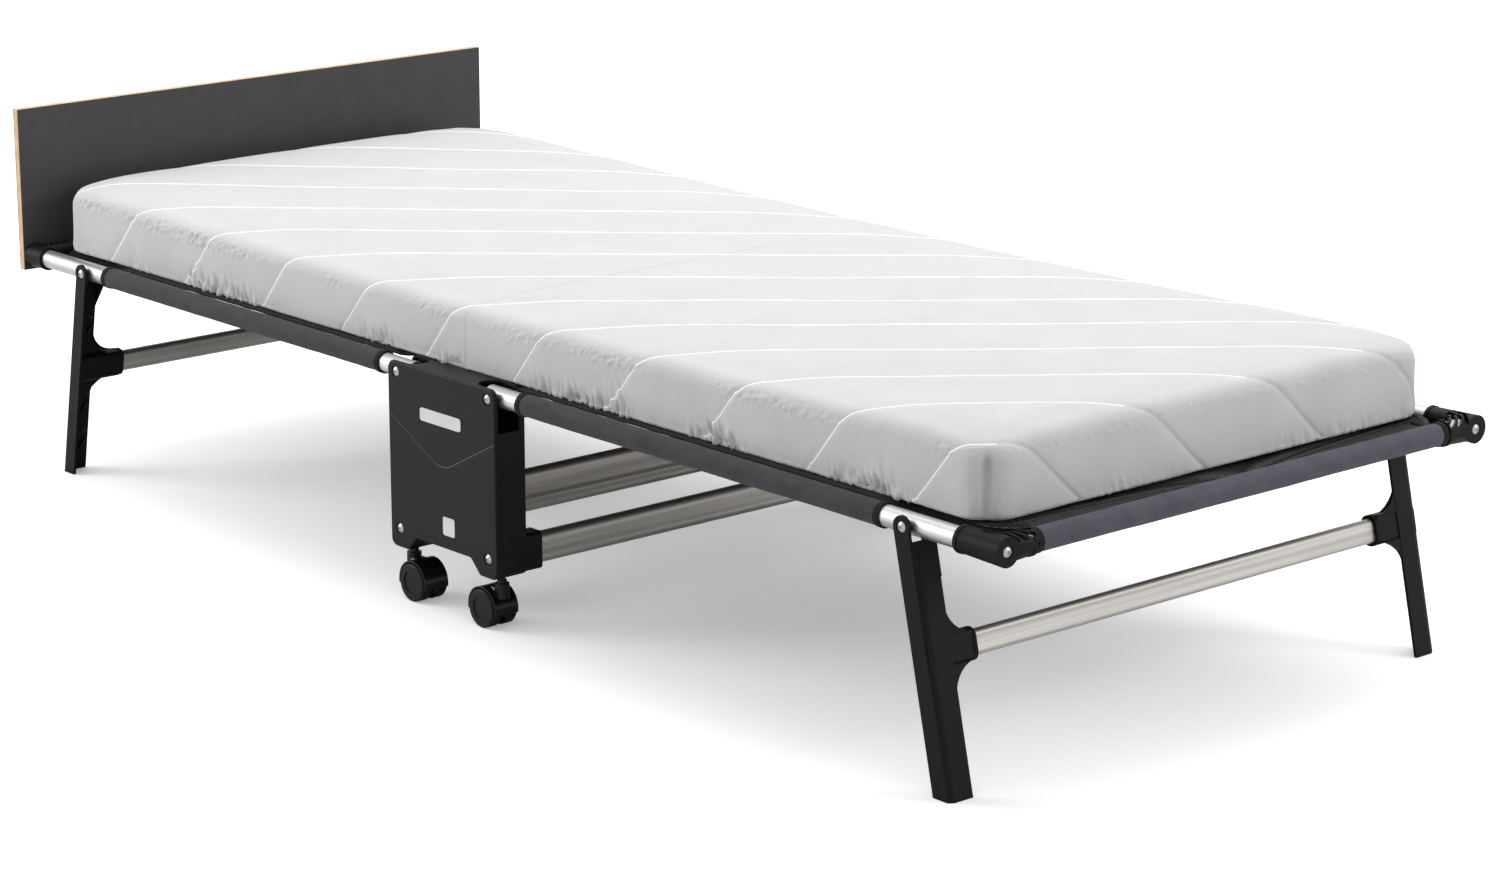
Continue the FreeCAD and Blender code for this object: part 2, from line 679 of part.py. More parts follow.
def housing_block(y0, y1, grow):
    """The housing's outline extruded, with its corners rounded."""
    block = prism_y(housing_outline(grow), y0, y1)
    outer = [e for e in edges_along_y(block) if abs(e.CenterOfMass.x) > HOUSING_HALF_LENGTH - 10]
    block = block.makeFillet(HOUSING_CORNER_R + grow, outer)
    arch = [e for e in edges_along_y(block) if abs(e.CenterOfMass.x) < HOUSING_ARCH_FOOT_X + 2]
    return block.makeFillet(HOUSING_ARCH_R, arch)


def edges_along_y(shape):
    """The straight edges of a shape that run across the bed."""
    return [e for e in shape.Edges if abs(e.tangentAt(e.FirstParameter).y) > 0.99]


def notch():
    """The space a right-hand foot rail swings through, open at the housing's top and end."""
    slot = box(NOTCH_X, HOUSING_HALF_LENGTH + 5, -RAIL_Y - NOTCH_R, -RAIL_Y + NOTCH_R, NOTCH_SILL_Z, 330)
    round_end = rod_z(NOTCH_SILL_Z, 330, NOTCH_X, -RAIL_Y, NOTCH_R)
    return fuse(slot, round_end)


def flap_groove():
    """The shallow V line across the cover's face, with a rounded point."""
    run = HOUSING_HALF_LENGTH + 2
    slope = math.atan((FLAP_SIDE_Z - FLAP_POINT_Z) / HOUSING_HALF_LENGTH)
    centre_z = FLAP_POINT_Z + FLAP_POINT_R / math.cos(slope)
    y = -HOUSING_FACE_Y
    sides = []
    for radius in (FLAP_POINT_R + FLAP_LINE_WIDTH / 2, FLAP_POINT_R - FLAP_LINE_WIDTH / 2):
        tangent_x = radius * math.sin(slope)
        tangent_z = centre_z - radius * math.cos(slope)
        left = Vector(-tangent_x, y, tangent_z)
        right = Vector(tangent_x, y, tangent_z)
        lowest = Vector(0, y, centre_z - radius)
        reach = Vector(run * math.cos(slope), 0, run * math.sin(slope))
        sides.append((left + Vector(-reach.x, 0, reach.z), left, lowest, right, right + reach))
    (a0, a1, a2, a3, a4), (b0, b1, b2, b3, b4) = sides
    wire = Part.Wire(
        [
            Part.makeLine(a0, a1),
            Part.Arc(a1, a2, a3).toShape(),
            Part.makeLine(a3, a4),
            Part.makeLine(a4, b4),
            Part.makeLine(b4, b3),
            Part.Arc(b3, b2, b1).toShape(),
            Part.makeLine(b1, b0),
            Part.makeLine(b0, a0),
        ]
    )
    return Part.Face(wire).extrude(Vector(0, FLAP_LINE_DEPTH, 0))


def cover_holes():
    """The holes and recesses for the four bolts in a right-hand cover."""
    tools = []
    outside = -HOUSING_FACE_Y - 1
    for x, z, radius in bolt_places():
        tools.append(rod_y(outside, -HOUSING_FACE_Y + 5 * HOUSING_FACE_WALL, x, z, radius + SCREW_FIT))
        tools.append(rod_y(outside, -HOUSING_FACE_Y + COVER_RECESS, x, z, RECESS_R))
    return tools


def bolt_places():
    """The (x, z, shank radius) of the four bolts in a cover."""
    places = []
    for sign in (-1, 1):
        places.append((sign * FOLD_X, RAIL_Z, PIVOT_R))
        places.append((sign * LOWER_BOLT_X, LOWER_BOLT_Z, SCREW_R))
    return places


def housing_cover():
    """The right-hand outer cover: face, top, ends and castor bosses."""
    seam_y = -HOUSING_BACK_Y - HOUSING_BACK_WALL
    solid = housing_block(-HOUSING_FACE_Y, seam_y, 0)
    rim = [e for e in solid.Edges if abs(e.CenterOfMass.y + HOUSING_FACE_Y) < 0.01]
    solid = solid.makeFillet(HOUSING_EDGE_R, rim)
    hollow = housing_block(-HOUSING_FACE_Y + HOUSING_FACE_WALL, seam_y + 1, -HOUSING_SIDE_WALL)
    shell = solid.cut(hollow)
    bosses = []
    bores = []
    for sign in (-1, 1):
        x = sign * CASTOR_X
        x0, x1 = x - CASTOR_BLOCK_X, x + CASTOR_BLOCK_X
        y0, y1 = -CASTOR_Y - CASTOR_BLOCK_Y, -CASTOR_Y + CASTOR_BLOCK_Y
        bosses.append(box(x0, x1, y0, y1, HOUSING_LOBE_Z + 1, STEM_TOP_Z + 2.5))
        bores.append(rod_z(HOUSING_LOBE_Z - 2, STEM_TOP_Z + 0.3, x, -CASTOR_Y, STEM_R + RUNNING))
    shell = fuse(shell, *bosses)
    notches = [notch(), mirror_x(notch())]
    return cut(shell, flap_groove(), *notches, *cover_holes(), *bores)


def housing_back():
    """The right-hand back plate, with sockets for the three crossbars."""
    y0 = -HOUSING_BACK_Y - HOUSING_BACK_WALL + HOUSING_SEAM
    plate = housing_block(y0, -HOUSING_BACK_Y, 0)
    sockets = []
    holes = []
    for x, z in bar_places():
        outer_depth = CENTRE_BAR_DEPTH + 2 * BAR_SOCKET_WALL
        outer_height = CENTRE_BAR_HEIGHT + 2 * BAR_SOCKET_WALL
        end = -HOUSING_BACK_Y + BAR_SOCKET_LENGTH
        sockets.append(
            rounded_block(
                x - outer_depth / 2, x + outer_depth / 2, y0, end, z - outer_height / 2, z + outer_height / 2,
                BAR_SOCKET_R, Vector(0, 1, 0),
            )
        )
        holes.append(
            oval_y(-HOUSING_BACK_Y, end + 1, x, z, CENTRE_BAR_DEPTH + BAR_FIT, CENTRE_BAR_HEIGHT + BAR_FIT)
        )
    for sign in (-1, 1):
        holes.append(rod_y(y0, -HOUSING_BACK_Y, sign * FOLD_X, RAIL_Z, PIVOT_R + SCREW_FIT))
        holes.append(rod_y(y0, -HOUSING_BACK_Y, sign * LOWER_BOLT_X, LOWER_BOLT_Z, SCREW_R + SCREW_FIT))
    holes.append(rod_y(y0, -HOUSING_BACK_Y, UPPER_BAR_X, UPPER_BAR_Z, SCREW_R + SCREW_FIT))
    return cut(fuse(plate, *sockets), *holes)


def bar_places():
    """The (x, z) centres of the crossbars between the housings."""
    return [(-LOWER_BAR_X, LOWER_BAR_Z), (LOWER_BAR_X, LOWER_BAR_Z), (UPPER_BAR_X, UPPER_BAR_Z)]


def centre_bar(x, z):
    """One hollow aluminium crossbar between the housings, with two fine grooves on each face."""
    end = HOUSING_BACK_Y - BAR_END_GAP
    wall = 2 * CENTRE_BAR_WALL
    outer = oval_y(-end, end, x, z, CENTRE_BAR_DEPTH, CENTRE_BAR_HEIGHT)
    inner = oval_y(-end, end, x, z, CENTRE_BAR_DEPTH - wall, CENTRE_BAR_HEIGHT - wall)
    grooves = []
    for face_x in (x - CENTRE_BAR_DEPTH / 2, x + CENTRE_BAR_DEPTH / 2):
        x0, x1 = face_x - BAR_GROOVE / 2, face_x + BAR_GROOVE / 2
        for drop in BAR_GROOVES_BELOW_MIDDLE:
            grooves.append(box(x0, x1, -end, end, z - drop, z - drop + BAR_GROOVE))
    return cut(outer, inner, *grooves)


def bar_plugs():
    """The plugs in the crossbar ends that the cover bolts screw into."""
    plugs = []
    inset = 2 * (CENTRE_BAR_WALL + BAR_PLUG_GAP)
    y0 = -HOUSING_BACK_Y + BAR_END_GAP
    for x, z in bar_places():
        plug = oval_y(y0, y0 + BAR_PLUG_LENGTH, x, z, CENTRE_BAR_DEPTH - inset, CENTRE_BAR_HEIGHT - inset)
        upper = x == UPPER_BAR_X
        hole_x = x if upper else math.copysign(LOWER_BOLT_X, x)
        hole_z = z if upper else LOWER_BOLT_Z
        hole = rod_y(y0, y0 + BAR_BOLT_HOLE, hole_x, hole_z, SCREW_R + SCREW_FIT)
        plugs.append(both_sides(plug.cut(hole)))
    return Part.makeCompound(plugs)


def cover_bolt(x, z, grip, radius):
    """A right-hand bolt whose head sits in a cover's recess and whose tip is grip past the back plate."""
    seat_y = -HOUSING_FACE_Y + COVER_RECESS - HEAD_CLEARANCE
    length = -HOUSING_BACK_Y + grip - seat_y
    return button_screw(Vector(x, seat_y, z), Vector(0, 1, 0), length, radius)


def lower_bolts():
    """The four bolts that clamp the covers to the lower crossbars."""
    return Part.makeCompound(
        [
            both_sides(cover_bolt(sign * LOWER_BOLT_X, LOWER_BOLT_Z, BAR_BOLT_GRIP, SCREW_R))
            for sign in (-1, 1)
        ]
    )


def upper_bar_screws():
    """The screws inside the housings that hold the upper crossbar."""
    seat = Vector(UPPER_BAR_X, -HOUSING_BACK_Y - HOUSING_BACK_WALL, UPPER_BAR_Z)
    return both_sides(button_screw(seat, Vector(0, 1, 0), HOUSING_BACK_WALL + BAR_BOLT_GRIP, SCREW_R))


def pivot_bolts():
    """The four bolts that the side rails fold on."""
    grip = NUT_HEIGHT + BOLT_TAIL
    bolts = [both_sides(cover_bolt(sign * FOLD_X, RAIL_Z, grip, PIVOT_R)) for sign in (-1, 1)]
    return Part.makeCompound(bolts)


def pivot_nuts():
    """The nuts on the pivot bolts, inside the bed."""
    nuts = []
    for sign in (-1, 1):
        start = Vector(sign * FOLD_X, -HOUSING_BACK_Y + NUT_GAP, RAIL_Z)
        body = hexagon(NUT_AF, start, Vector(0, 1, 0), NUT_HEIGHT)
        bore = Part.makeCylinder(PIVOT_R + THREAD_GAP, NUT_HEIGHT, start, Vector(0, 1, 0))
        nuts.append(both_sides(body.cut(bore)))
    return Part.makeCompound(nuts)


def pivot_spacers():
    """The nylon spacers each side of every rail inside the housings."""
    spacers = []
    outer_start = -HOUSING_FACE_Y + HOUSING_FACE_WALL + TUBE_FIT
    outer_end = -RAIL_Y - TUBE_R - SPACER_GAP
    inner_start = -RAIL_Y + TUBE_R + SPACER_GAP
    inner_end = -HOUSING_BACK_Y - HOUSING_BACK_WALL
    for sign in (-1, 1):
        for start, end in ((outer_start, outer_end), (inner_start, inner_end)):
            place = Vector(sign * FOLD_X, start, RAIL_Z)
            spacer = ring(place, Vector(0, 1, 0), end - start, SPACER_R, PIVOT_R + RUNNING)
            spacers.append(both_sides(spacer))
    return Part.makeCompound(spacers)


def blank_badge():
    """A plain badge with nothing on it, on the right-hand cover."""
    half = BADGE_LENGTH / 2
    return rounded_block(
        -half, half, -HOUSING_FACE_Y - BADGE_THICKNESS, -HOUSING_FACE_Y, BADGE_Z - BADGE_HEIGHT / 2,
        BADGE_Z + BADGE_HEIGHT / 2, 4, Vector(0, 1, 0),
    )


def blank_label():
    """A plain square label on the right-hand cover."""
    half = LABEL_SIZE / 2
    return rounded_block(
        LABEL_X - half, LABEL_X + half, -HOUSING_FACE_Y - LABEL_THICKNESS, -HOUSING_FACE_Y,
        LABEL_Z - half, LABEL_Z + half, 3, Vector(0, 1, 0),
    )


# ---- castors ----


def castor_hood():
    """A foot-side right-hand castor hood: mudguard, middle web and stem boss."""
    x = CASTOR_X - CASTOR_TRAIL
    half = WHEEL_WIDTH + WHEEL_GAP / 2 - 2
    y0, y1 = -CASTOR_Y - half, -CASTOR_Y + half
    guard = rod_y(y0, y1, x, WHEEL_R, HOOD_R).cut(rod_y(y0, y1, x, WHEEL_R, HOOD_R - HOOD_WALL))
    guard = guard.cut(box(x - 40, x + 40, y0, y1, -20, WHEEL_R - 5))
    web_half = WHEEL_GAP / 2 - 0.5
    web_y0, web_y1 = -CASTOR_Y - web_half, -CASTOR_Y + web_half
    web = rod_y(web_y0, web_y1, x, WHEEL_R, HOOD_R - 1)
    web = web.cut(box(x - 40, x + 40, web_y0, web_y1, -20, WHEEL_R - 10))
    boss = rod_z(CASTOR_BOSS_FOOT_Z, COLLAR_Z, CASTOR_X, -CASTOR_Y, CASTOR_BOSS_R)
    shoulder = rounded_block(
        x, CASTOR_X, -CASTOR_Y - CASTOR_BOSS_R, -CASTOR_Y + CASTOR_BOSS_R, CASTOR_BOSS_FOOT_Z, CASTOR_SHOULDER_Z,
        CASTOR_SHOULDER_R, Vector(1, 0, 0),
    )
    boss = fuse(boss, shoulder).cut(rod_y(y0, y1, x, WHEEL_R, HOOD_R - HOOD_WALL / 2))
    axle_bore = rod_y(y0, y1, x, WHEEL_R, AXLE_R + RUNNING)
    return cut(fuse(guard, web, boss), axle_bore)


def castor_stem():
    """The steel stem and its collar, above the hood."""
    collar = rod_z(COLLAR_Z + NUT_GAP, COLLAR_Z + COLLAR_HEIGHT, CASTOR_X, -CASTOR_Y, COLLAR_R)
    stem = rod_z(COLLAR_Z + COLLAR_HEIGHT - 0.5, STEM_TOP_Z, CASTOR_X, -CASTOR_Y, STEM_R)
    return fuse(collar, stem)


def castor_wheels():
    """The twin wheels and their axle, which turn together."""
    x = CASTOR_X - CASTOR_TRAIL
    inner = WHEEL_GAP / 2
    outer = inner + WHEEL_WIDTH
    wheel = rod_y(inner, outer, x, WHEEL_R, WHEEL_R)
    rims = [e for e in wheel.Edges if e.Curve.TypeId == "Part::GeomCircle"]
    wheel = wheel.makeFillet(TREAD_R, rims)
    wheel = wheel.cut(rod_y(outer - DISH_DEPTH, outer, x, WHEEL_R, WHEEL_R * DISH_SHARE))
    axle = rod_y(-WHEEL_GAP, WHEEL_GAP, x, WHEEL_R, AXLE_R)
    pair = fuse(axle, wheel, mirror_y(wheel))
    pair.translate(Vector(0, -CASTOR_Y, 0))
    return pair


def export(name, shape):
    """Moves a piece to the middle of the footprint and writes it as its own STEP file."""
    placed = shape.copy()
    placed.translate(Vector(FOOTPRINT_SHIFT, 0, 0))
    placed.exportStep(os.path.join("parts", name + ".step"))


def export_half(prefix, flip, rail_end, tube_x, elbow, corner_hole):
    """Writes the pieces that the two folding halves share."""
    export(prefix + "_rails", both_sides(flip(rail(rail_end))))
    export(prefix + "_rail_plugs", flip(rail_plugs(rail_end, corner_hole)))
    export(prefix + "_end_tube", flip(end_tube(tube_x)))
    export(prefix + "_corner_connectors", both_sides(flip(elbow)))
    export(prefix + "_leg_bolts", both_sides(flip(leg_bolt())))
    export(prefix + "_leg_spacers", flip(leg_spacers()))
    export(prefix + "_side_sleeves", both_sides(flip(side_sleeve())))
    export(prefix + "_end_sleeve", flip(end_sleeve(tube_x)))
    export(prefix + "_sleeve_bindings", flip(sleeve_bindings(tube_x)))
    export(prefix + "_deck", flip(deck_panel(tube_x)))


def export_legs(prefix, flip, splay_deg):
    """Writes one pair of legs."""
    one_leg = flip(leg(splay_deg))
    export(prefix + "_leg_right", one_leg)
    export(prefix + "_leg_left", mirror_y(one_leg))
    export(prefix + "_leg_crossbar", flip(leg_crossbar(splay_deg)))
    export(prefix + "_leg_collars", both_sides(flip(leg_collar(splay_deg))))


def export_centre():
    """Writes the centre unit."""
    cover = housing_cover()
    back = housing_back()
    badge = blank_badge()
    export("housing_cover_right", cover)
    export("housing_cover_left", mirror_y(cover))
    export("housing_back_right", back)
    export("housing_back_left", mirror_y(back))
    for name, (x, z) in zip(("lower_bar_head", "lower_bar_foot", "upper_bar"), bar_places()):
        export(name, centre_bar(x, z))
    export("bar_plugs", bar_plugs())
    export("lower_bar_bolts", lower_bolts())
    export("upper_bar_screws", upper_bar_screws())
    export("fold_pivot_bolts", pivot_bolts())
    export("fold_pivot_nuts", pivot_nuts())
    export("fold_pivot_spacers", pivot_spacers())
    export("blank_badges", both_sides(badge))
    export("blank_label", blank_label())
    export("deck_centre", deck_centre())


def export_castors():
    """Writes the four castors, each as a hood with its steel stem, and a pair of wheels."""
    pieces = (("hood", Part.makeCompound([castor_hood(), castor_stem()])), ("wheels", castor_wheels()))
    for end, flip in (("foot", lambda s: s), ("head", mirror_x)):
        for side, turn in (("right", lambda s: s), ("left", mirror_y)):
            for kind, piece in pieces:
                export("castor_" + end + "_" + side + "_" + kind, turn(flip(piece)))


def export_corner_bolts():
    """Writes the bolts that hold the foot connectors and the headboard."""
    foot_seat = Vector(FOOT_END_X - FOOT_BOLT_SINK, -RAIL_Y, RAIL_Z)
    foot_bolt = button_screw(foot_seat, Vector(-1, 0, 0), CORNER_BOLT_LENGTH, SCREW_R)
    head_seat = Vector(HEADBOARD_BACK_X, -RAIL_Y, RAIL_Z)
    head_bolt = button_screw(head_seat, Vector(-1, 0, 0), HEADBOARD_BOLT_LENGTH, SCREW_R)
    export("foot_corner_bolts", both_sides(foot_bolt))
    export("headboard_bolts", both_sides(mirror_x(head_bolt)))


def export_headboard():
    """Writes the three layers of the headboard."""
    front = HEADBOARD_FACE_X + LAMINATE
    back = front + HEADBOARD_CORE
    export("headboard_front_laminate", mirror_x(headboard_layer(HEADBOARD_FACE_X, front)))
    export("headboard_core", mirror_x(headboard_layer(front, back)))
    export("headboard_back_laminate", mirror_x(headboard_layer(back, HEADBOARD_BACK_X)))


def export_mattress():
    """Writes the mattress as its two halves and the narrower stretch between the housings."""
    centre_half = MATTRESS_SPLIT_X - MATTRESS_SPLIT_GAP
    width = MATTRESS_HALF_WIDTH
    export("mattress_centre", mattress_part(-centre_half, centre_half, MATTRESS_WAIST_HALF_WIDTH, ()))
    export("mattress_foot", mattress_part(MATTRESS_SPLIT_X, MATTRESS_FOOT_X, width, (MATTRESS_FOOT_X,)))
    export("mattress_head", mattress_part(-MATTRESS_HEAD_X, -MATTRESS_SPLIT_X, width, (-MATTRESS_HEAD_X,)))


def main():
    """Builds every piece of the bed."""
    os.makedirs("parts", exist_ok=True)
    foot_rail_end = FOOT_END_X - FOOT_BARREL_LENGTH * BARREL_BORE_SHARE - BARREL_STOP_GAP
    head_elbow_end = HEADBOARD_FACE_X - TUBE_FIT
    head_rail_end = head_elbow_end - HEAD_BARREL_LENGTH * BARREL_BORE_SHARE - BARREL_STOP_GAP
    foot_hole = foot_corner_hole()
    head_hole = head_corner_hole()
    foot_elbow = corner(FOOT_TUBE_X, FOOT_END_X, FOOT_BARREL_LENGTH, foot_hole)
    head_elbow = corner(HEAD_TUBE_X, head_elbow_end, HEAD_BARREL_LENGTH, head_hole)
    export_centre()
    export_half("foot", lambda s: s, foot_rail_end, FOOT_TUBE_X, foot_elbow, foot_hole)
    export_half("head", mirror_x, head_rail_end, HEAD_TUBE_X, head_elbow, head_hole)
    export_legs("foot", lambda s: s, FOOT_SPLAY_DEG)
    export_legs("head", mirror_x, HEAD_SPLAY_DEG)
    export_castors()
    export_corner_bolts()
    export_headboard()
    export_mattress()


main()
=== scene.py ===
import json
import math

import bmesh
import bpy
import numpy as np
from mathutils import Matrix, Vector, noise


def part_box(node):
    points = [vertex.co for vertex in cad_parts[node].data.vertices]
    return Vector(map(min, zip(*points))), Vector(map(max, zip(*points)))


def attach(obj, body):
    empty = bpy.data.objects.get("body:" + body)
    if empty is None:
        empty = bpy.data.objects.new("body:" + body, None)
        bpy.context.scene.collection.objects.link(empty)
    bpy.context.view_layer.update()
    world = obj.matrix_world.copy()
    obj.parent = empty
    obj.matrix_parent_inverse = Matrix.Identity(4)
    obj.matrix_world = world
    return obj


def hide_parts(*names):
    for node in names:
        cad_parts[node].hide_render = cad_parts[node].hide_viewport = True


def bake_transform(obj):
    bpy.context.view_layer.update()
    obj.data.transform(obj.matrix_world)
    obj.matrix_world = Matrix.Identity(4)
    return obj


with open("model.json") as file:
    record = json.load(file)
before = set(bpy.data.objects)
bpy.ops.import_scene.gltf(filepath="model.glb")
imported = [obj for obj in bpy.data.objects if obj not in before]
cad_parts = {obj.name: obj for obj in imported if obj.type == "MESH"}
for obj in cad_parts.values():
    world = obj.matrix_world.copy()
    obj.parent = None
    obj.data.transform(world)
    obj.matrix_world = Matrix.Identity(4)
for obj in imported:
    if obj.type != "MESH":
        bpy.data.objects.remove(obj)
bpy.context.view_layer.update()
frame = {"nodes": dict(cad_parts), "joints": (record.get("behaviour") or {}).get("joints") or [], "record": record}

MM = 0.001


# ---- places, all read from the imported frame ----


def node_box(name):
    """The lowest and highest corners of a CAD node, as arrays."""
    low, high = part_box(name)
    return np.array(low), np.array(high)


def joint(name):
    """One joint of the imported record."""
    return next(j for j in frame["joints"] if j["name"] == name)


ENDS = ("head", "foot")
FOLD = {end: np.array(joint(end + "_fold")["pos_m"]) for end in ENDS}
MIDDLE_X = (FOLD["head"][0] + FOLD["foot"][0]) / 2
RAIL_LOW, RAIL_HIGH = node_box("foot_rails")
TUBE_R = (RAIL_HIGH[2] - RAIL_LOW[2]) / 2
RAIL_Y = RAIL_HIGH[1] - TUBE_R
RAIL_Z = FOLD["foot"][2]
END_TUBE_X = {end: float(node_box(end + "_end_tube")[0][0]) + TUBE_R for end in ENDS}
HOUSING_LOW, HOUSING_HIGH = node_box("housing_cover_right")
HOUSING_FACE_Y = abs(float(HOUSING_LOW[1]))
HOUSING_HALF_X = float(HOUSING_HIGH[0]) - MIDDLE_X


# ---- small helpers ----

TINY = 1e-9


def smooth(edge0, edge1, x):
    """Smoothstep between two edges."""
    t = np.clip((x - edge0) / (edge1 - edge0), 0.0, 1.0)
    return t * t * (3 - 2 * t)


def bell(distance, width):
    """A bell curve that is 1 at no distance and has fallen to 1 / e at the width."""
    return np.exp(-((distance / width) ** 2))


def between(first, last, share):
    """The value at a share of the way from first to last."""
    return first + (last - first) * share


def noise_values(points, scale, seed=0.0):
    """Smooth noise in about -1 to 1 at each point; scale is in lumps per metre."""
    shift = Vector((seed, seed * 1.7, seed * 2.3))
    return np.array([noise.noise(Vector(p) * scale + shift) for p in points])


def mesh_object(name, vertices, faces, material):
    """A new smooth-shaded mesh object in the scene."""
    mesh = bpy.data.meshes.new(name)
    mesh.from_pydata([tuple(v) for v in vertices], [], [tuple(f) for f in faces])
    mesh.validate()
    mesh.materials.append(material)
    for polygon in mesh.polygons:
        polygon.use_smooth = True
    made = bpy.data.objects.new(name, mesh)
    bpy.context.scene.collection.objects.link(made)
    return made


def coordinates(thing):
    """A mesh object's vertices as an array."""
    co = np.zeros(len(thing.data.vertices) * 3)
    thing.data.vertices.foreach_get("co", co)
    return co.reshape(-1, 3)


def set_coordinates(thing, co):
    """Writes an array back to a mesh object's vertices."""
    thing.data.vertices.foreach_set("co", co.astype(np.float32).ravel())
    thing.data.update()


def vertex_normals(thing):
    """A mesh object's vertex normals as an array."""
    normals = np.zeros(len(thing.data.vertices) * 3)
    thing.data.vertices.foreach_get("normal", normals)
    return normals.reshape(-1, 3)


def apply_modifiers(thing):
    """Turns a mesh object with its modifiers into a plain mesh."""
    depsgraph = bpy.context.evaluated_depsgraph_get()
    evaluated = bpy.data.meshes.new_from_object(thing.evaluated_get(depsgraph))
    thing.modifiers.clear()
    thing.data = evaluated


def grid_faces(rows, columns, wrap=False):
    """Quads between rows of vertices; wrap joins the last column to the first."""
    faces = []
    across = columns if wrap else columns - 1
    for r in range(rows - 1):
        for c in range(across):
            d = (c + 1) % columns
            here, there = r * columns, (r + 1) * columns
            faces.append((here + c, here + d, there + d, there + c))
    return faces


# ---- materials ----

# A wave texture of scale 1 turns by one radian in this many metres.
WAVE_UNIT = 0.05

# The distance between two ribs of the deck's mesh.
DECK_RIB_PITCH = 4 * MM


class Finish:
    """Writes one procedural material, node by node."""

    def __init__(self, name, color, roughness, metallic=0.0):
        self.name = name
        self.material = bpy.data.materials.new(name)
        self.material.use_nodes = True
        self.tree = self.material.node_tree
        self.shader = self.tree.nodes["Principled BSDF"]
        self.shader.inputs["Base Color"].default_value = (*color, 1)
        self.shader.inputs["Roughness"].default_value = roughness
        self.shader.inputs["Metallic"].default_value = metallic
        self.place = None

    def node(self, kind, settings=None, **inputs):
        """Adds a node; settings are its properties, inputs its sockets (values or links)."""
        made = self.tree.nodes.new(kind)
        for key, value in (settings or {}).items():
            setattr(made, key, value)
        for key, value in inputs.items():
            self.feed(made.inputs[key.replace("_", " ")], value)
        return made

    def feed(self, socket, value):
        """Links a socket to another one, or sets its value."""
        if isinstance(value, bpy.types.NodeSocket):
            self.tree.links.new(value, socket)
        else:
            socket.default_value = value

    def position(self, stretch=(1, 1, 1)):
        """Object coordinates in metres, stretched along the axes."""
        if self.place is None:
            self.place = self.node("ShaderNodeTexCoord").outputs["Object"]
        return self.node("ShaderNodeMapping", Vector=self.place, Scale=stretch).outputs["Vector"]

    def noise(self, scale, stretch=(1, 1, 1), detail=3.0, rough=0.55):
        """A noise value; scale is in lumps per metre."""
        made = self.node(
            "ShaderNodeTexNoise", Vector=self.position(stretch), Scale=scale, Detail=detail, Roughness=rough
        )
        return made.outputs["Fac"]

    def wave(self, direction, pitch, distortion):
        """A sine wave of 0 to 1 along one axis; pitch is its length in metres."""
        kind = {"bands_direction": direction, "wave_profile": "SIN"}
        scale = math.tau * WAVE_UNIT / pitch
        made = self.node(
            "ShaderNodeTexWave", kind, Vector=self.position(), Scale=scale, Distortion=distortion, Detail=1.0
        )
        return made.outputs["Fac"]

    def math(self, operation, a, b=0.0):
        """One arithmetic node."""
        made = self.node("ShaderNodeMath", {"operation": operation})
        self.feed(made.inputs[0], a)
        self.feed(made.inputs[1], b)
        return made.outputs[0]

    def mix(self, a, b, share):
        """A share of one value plus the rest of another."""
        return self.math("ADD", self.math("MULTIPLY", a, share), self.math("MULTIPLY", b, 1 - share))

    def ramp(self, value, low, high, at=(0.3, 0.7)):
        """A value turned into a colour between two colours."""
        made = self.node("ShaderNodeValToRGB", Fac=value)
        first, last = made.color_ramp.elements
        first.position, last.position = at
        first.color = (*low, 1)
        last.color = (*high, 1)
        return made.outputs["Color"]

    def spread(self, value, low, high):
        """A 0 to 1 value mapped to a range."""
        made = self.node("ShaderNodeMapRange", Value=value, To_Min=low, To_Max=high)
        return made.outputs["Result"]

    def color(self, socket):
        self.feed(self.shader.inputs["Base Color"], socket)

    def roughness(self, socket):
        self.feed(self.shader.inputs["Roughness"], socket)

    def bump(self, height, depth, soften=0.0):
        """Relief of a depth in metres; soften rounds the mesh's own hard edges by a radius in metres."""
        made = self.node("ShaderNodeBump", Height=height, Distance=depth, Strength=1.0)
        if soften:
            bevel = self.node("ShaderNodeBevel", {"samples": 4}, Radius=soften)
            self.feed(made.inputs["Normal"], bevel.outputs["Normal"])
        self.feed(self.shader.inputs["Normal"], made.outputs["Normal"])


def gray(value):
    """A neutral colour."""
    return (value, value, value)


def drawn_out(along, share):
    """A stretch that makes lumps long and thin along one axis."""
    stretch = [1.0, 1.0, 1.0]
    stretch[along] = share
    return stretch


def moulded(name, low, high, rough, grain=0.00012, soften=0.0007, shine=0.12):
    """Moulded plastic with a fine spark-eroded grain."""
    finish = Finish(name, low, rough[0])
    finish.shader.inputs["Specular IOR Level"].default_value = shine
    finish.color(finish.ramp(finish.noise(9.0, detail=5.0), low, high))
    finish.roughness(finish.spread(finish.noise(60.0), rough[0], rough[1]))
    finish.bump(finish.noise(2600.0, detail=2.0), grain, soften)
    return finish


def brushed(name, along, low, high, rough=(0.32, 0.5)):
    """Anodised aluminium with draw lines along one axis."""
    stretch = drawn_out(along, 0.012)
    finish = Finish(name, high, rough[0], metallic=1.0)
    lines = finish.noise(1500.0, stretch, detail=4.0, rough=0.7)
    broad = finish.noise(90.0, stretch, detail=3.0)
    finish.color(finish.ramp(broad, low, high, (0.35, 0.65)))
    finish.roughness(finish.spread(lines, rough[0], rough[1]))
    finish.bump(lines, 0.00006, 0.0004)
    return finish


def plain_metal(name, color, rough):
    """Zinc-plated steel for the fasteners."""
    finish = Finish(name, color, rough[0], metallic=1.0)
    finish.roughness(finish.spread(finish.noise(700.0), rough[0], rough[1]))
    finish.bump(finish.noise(900.0), 0.00003, 0.0004)
    return finish


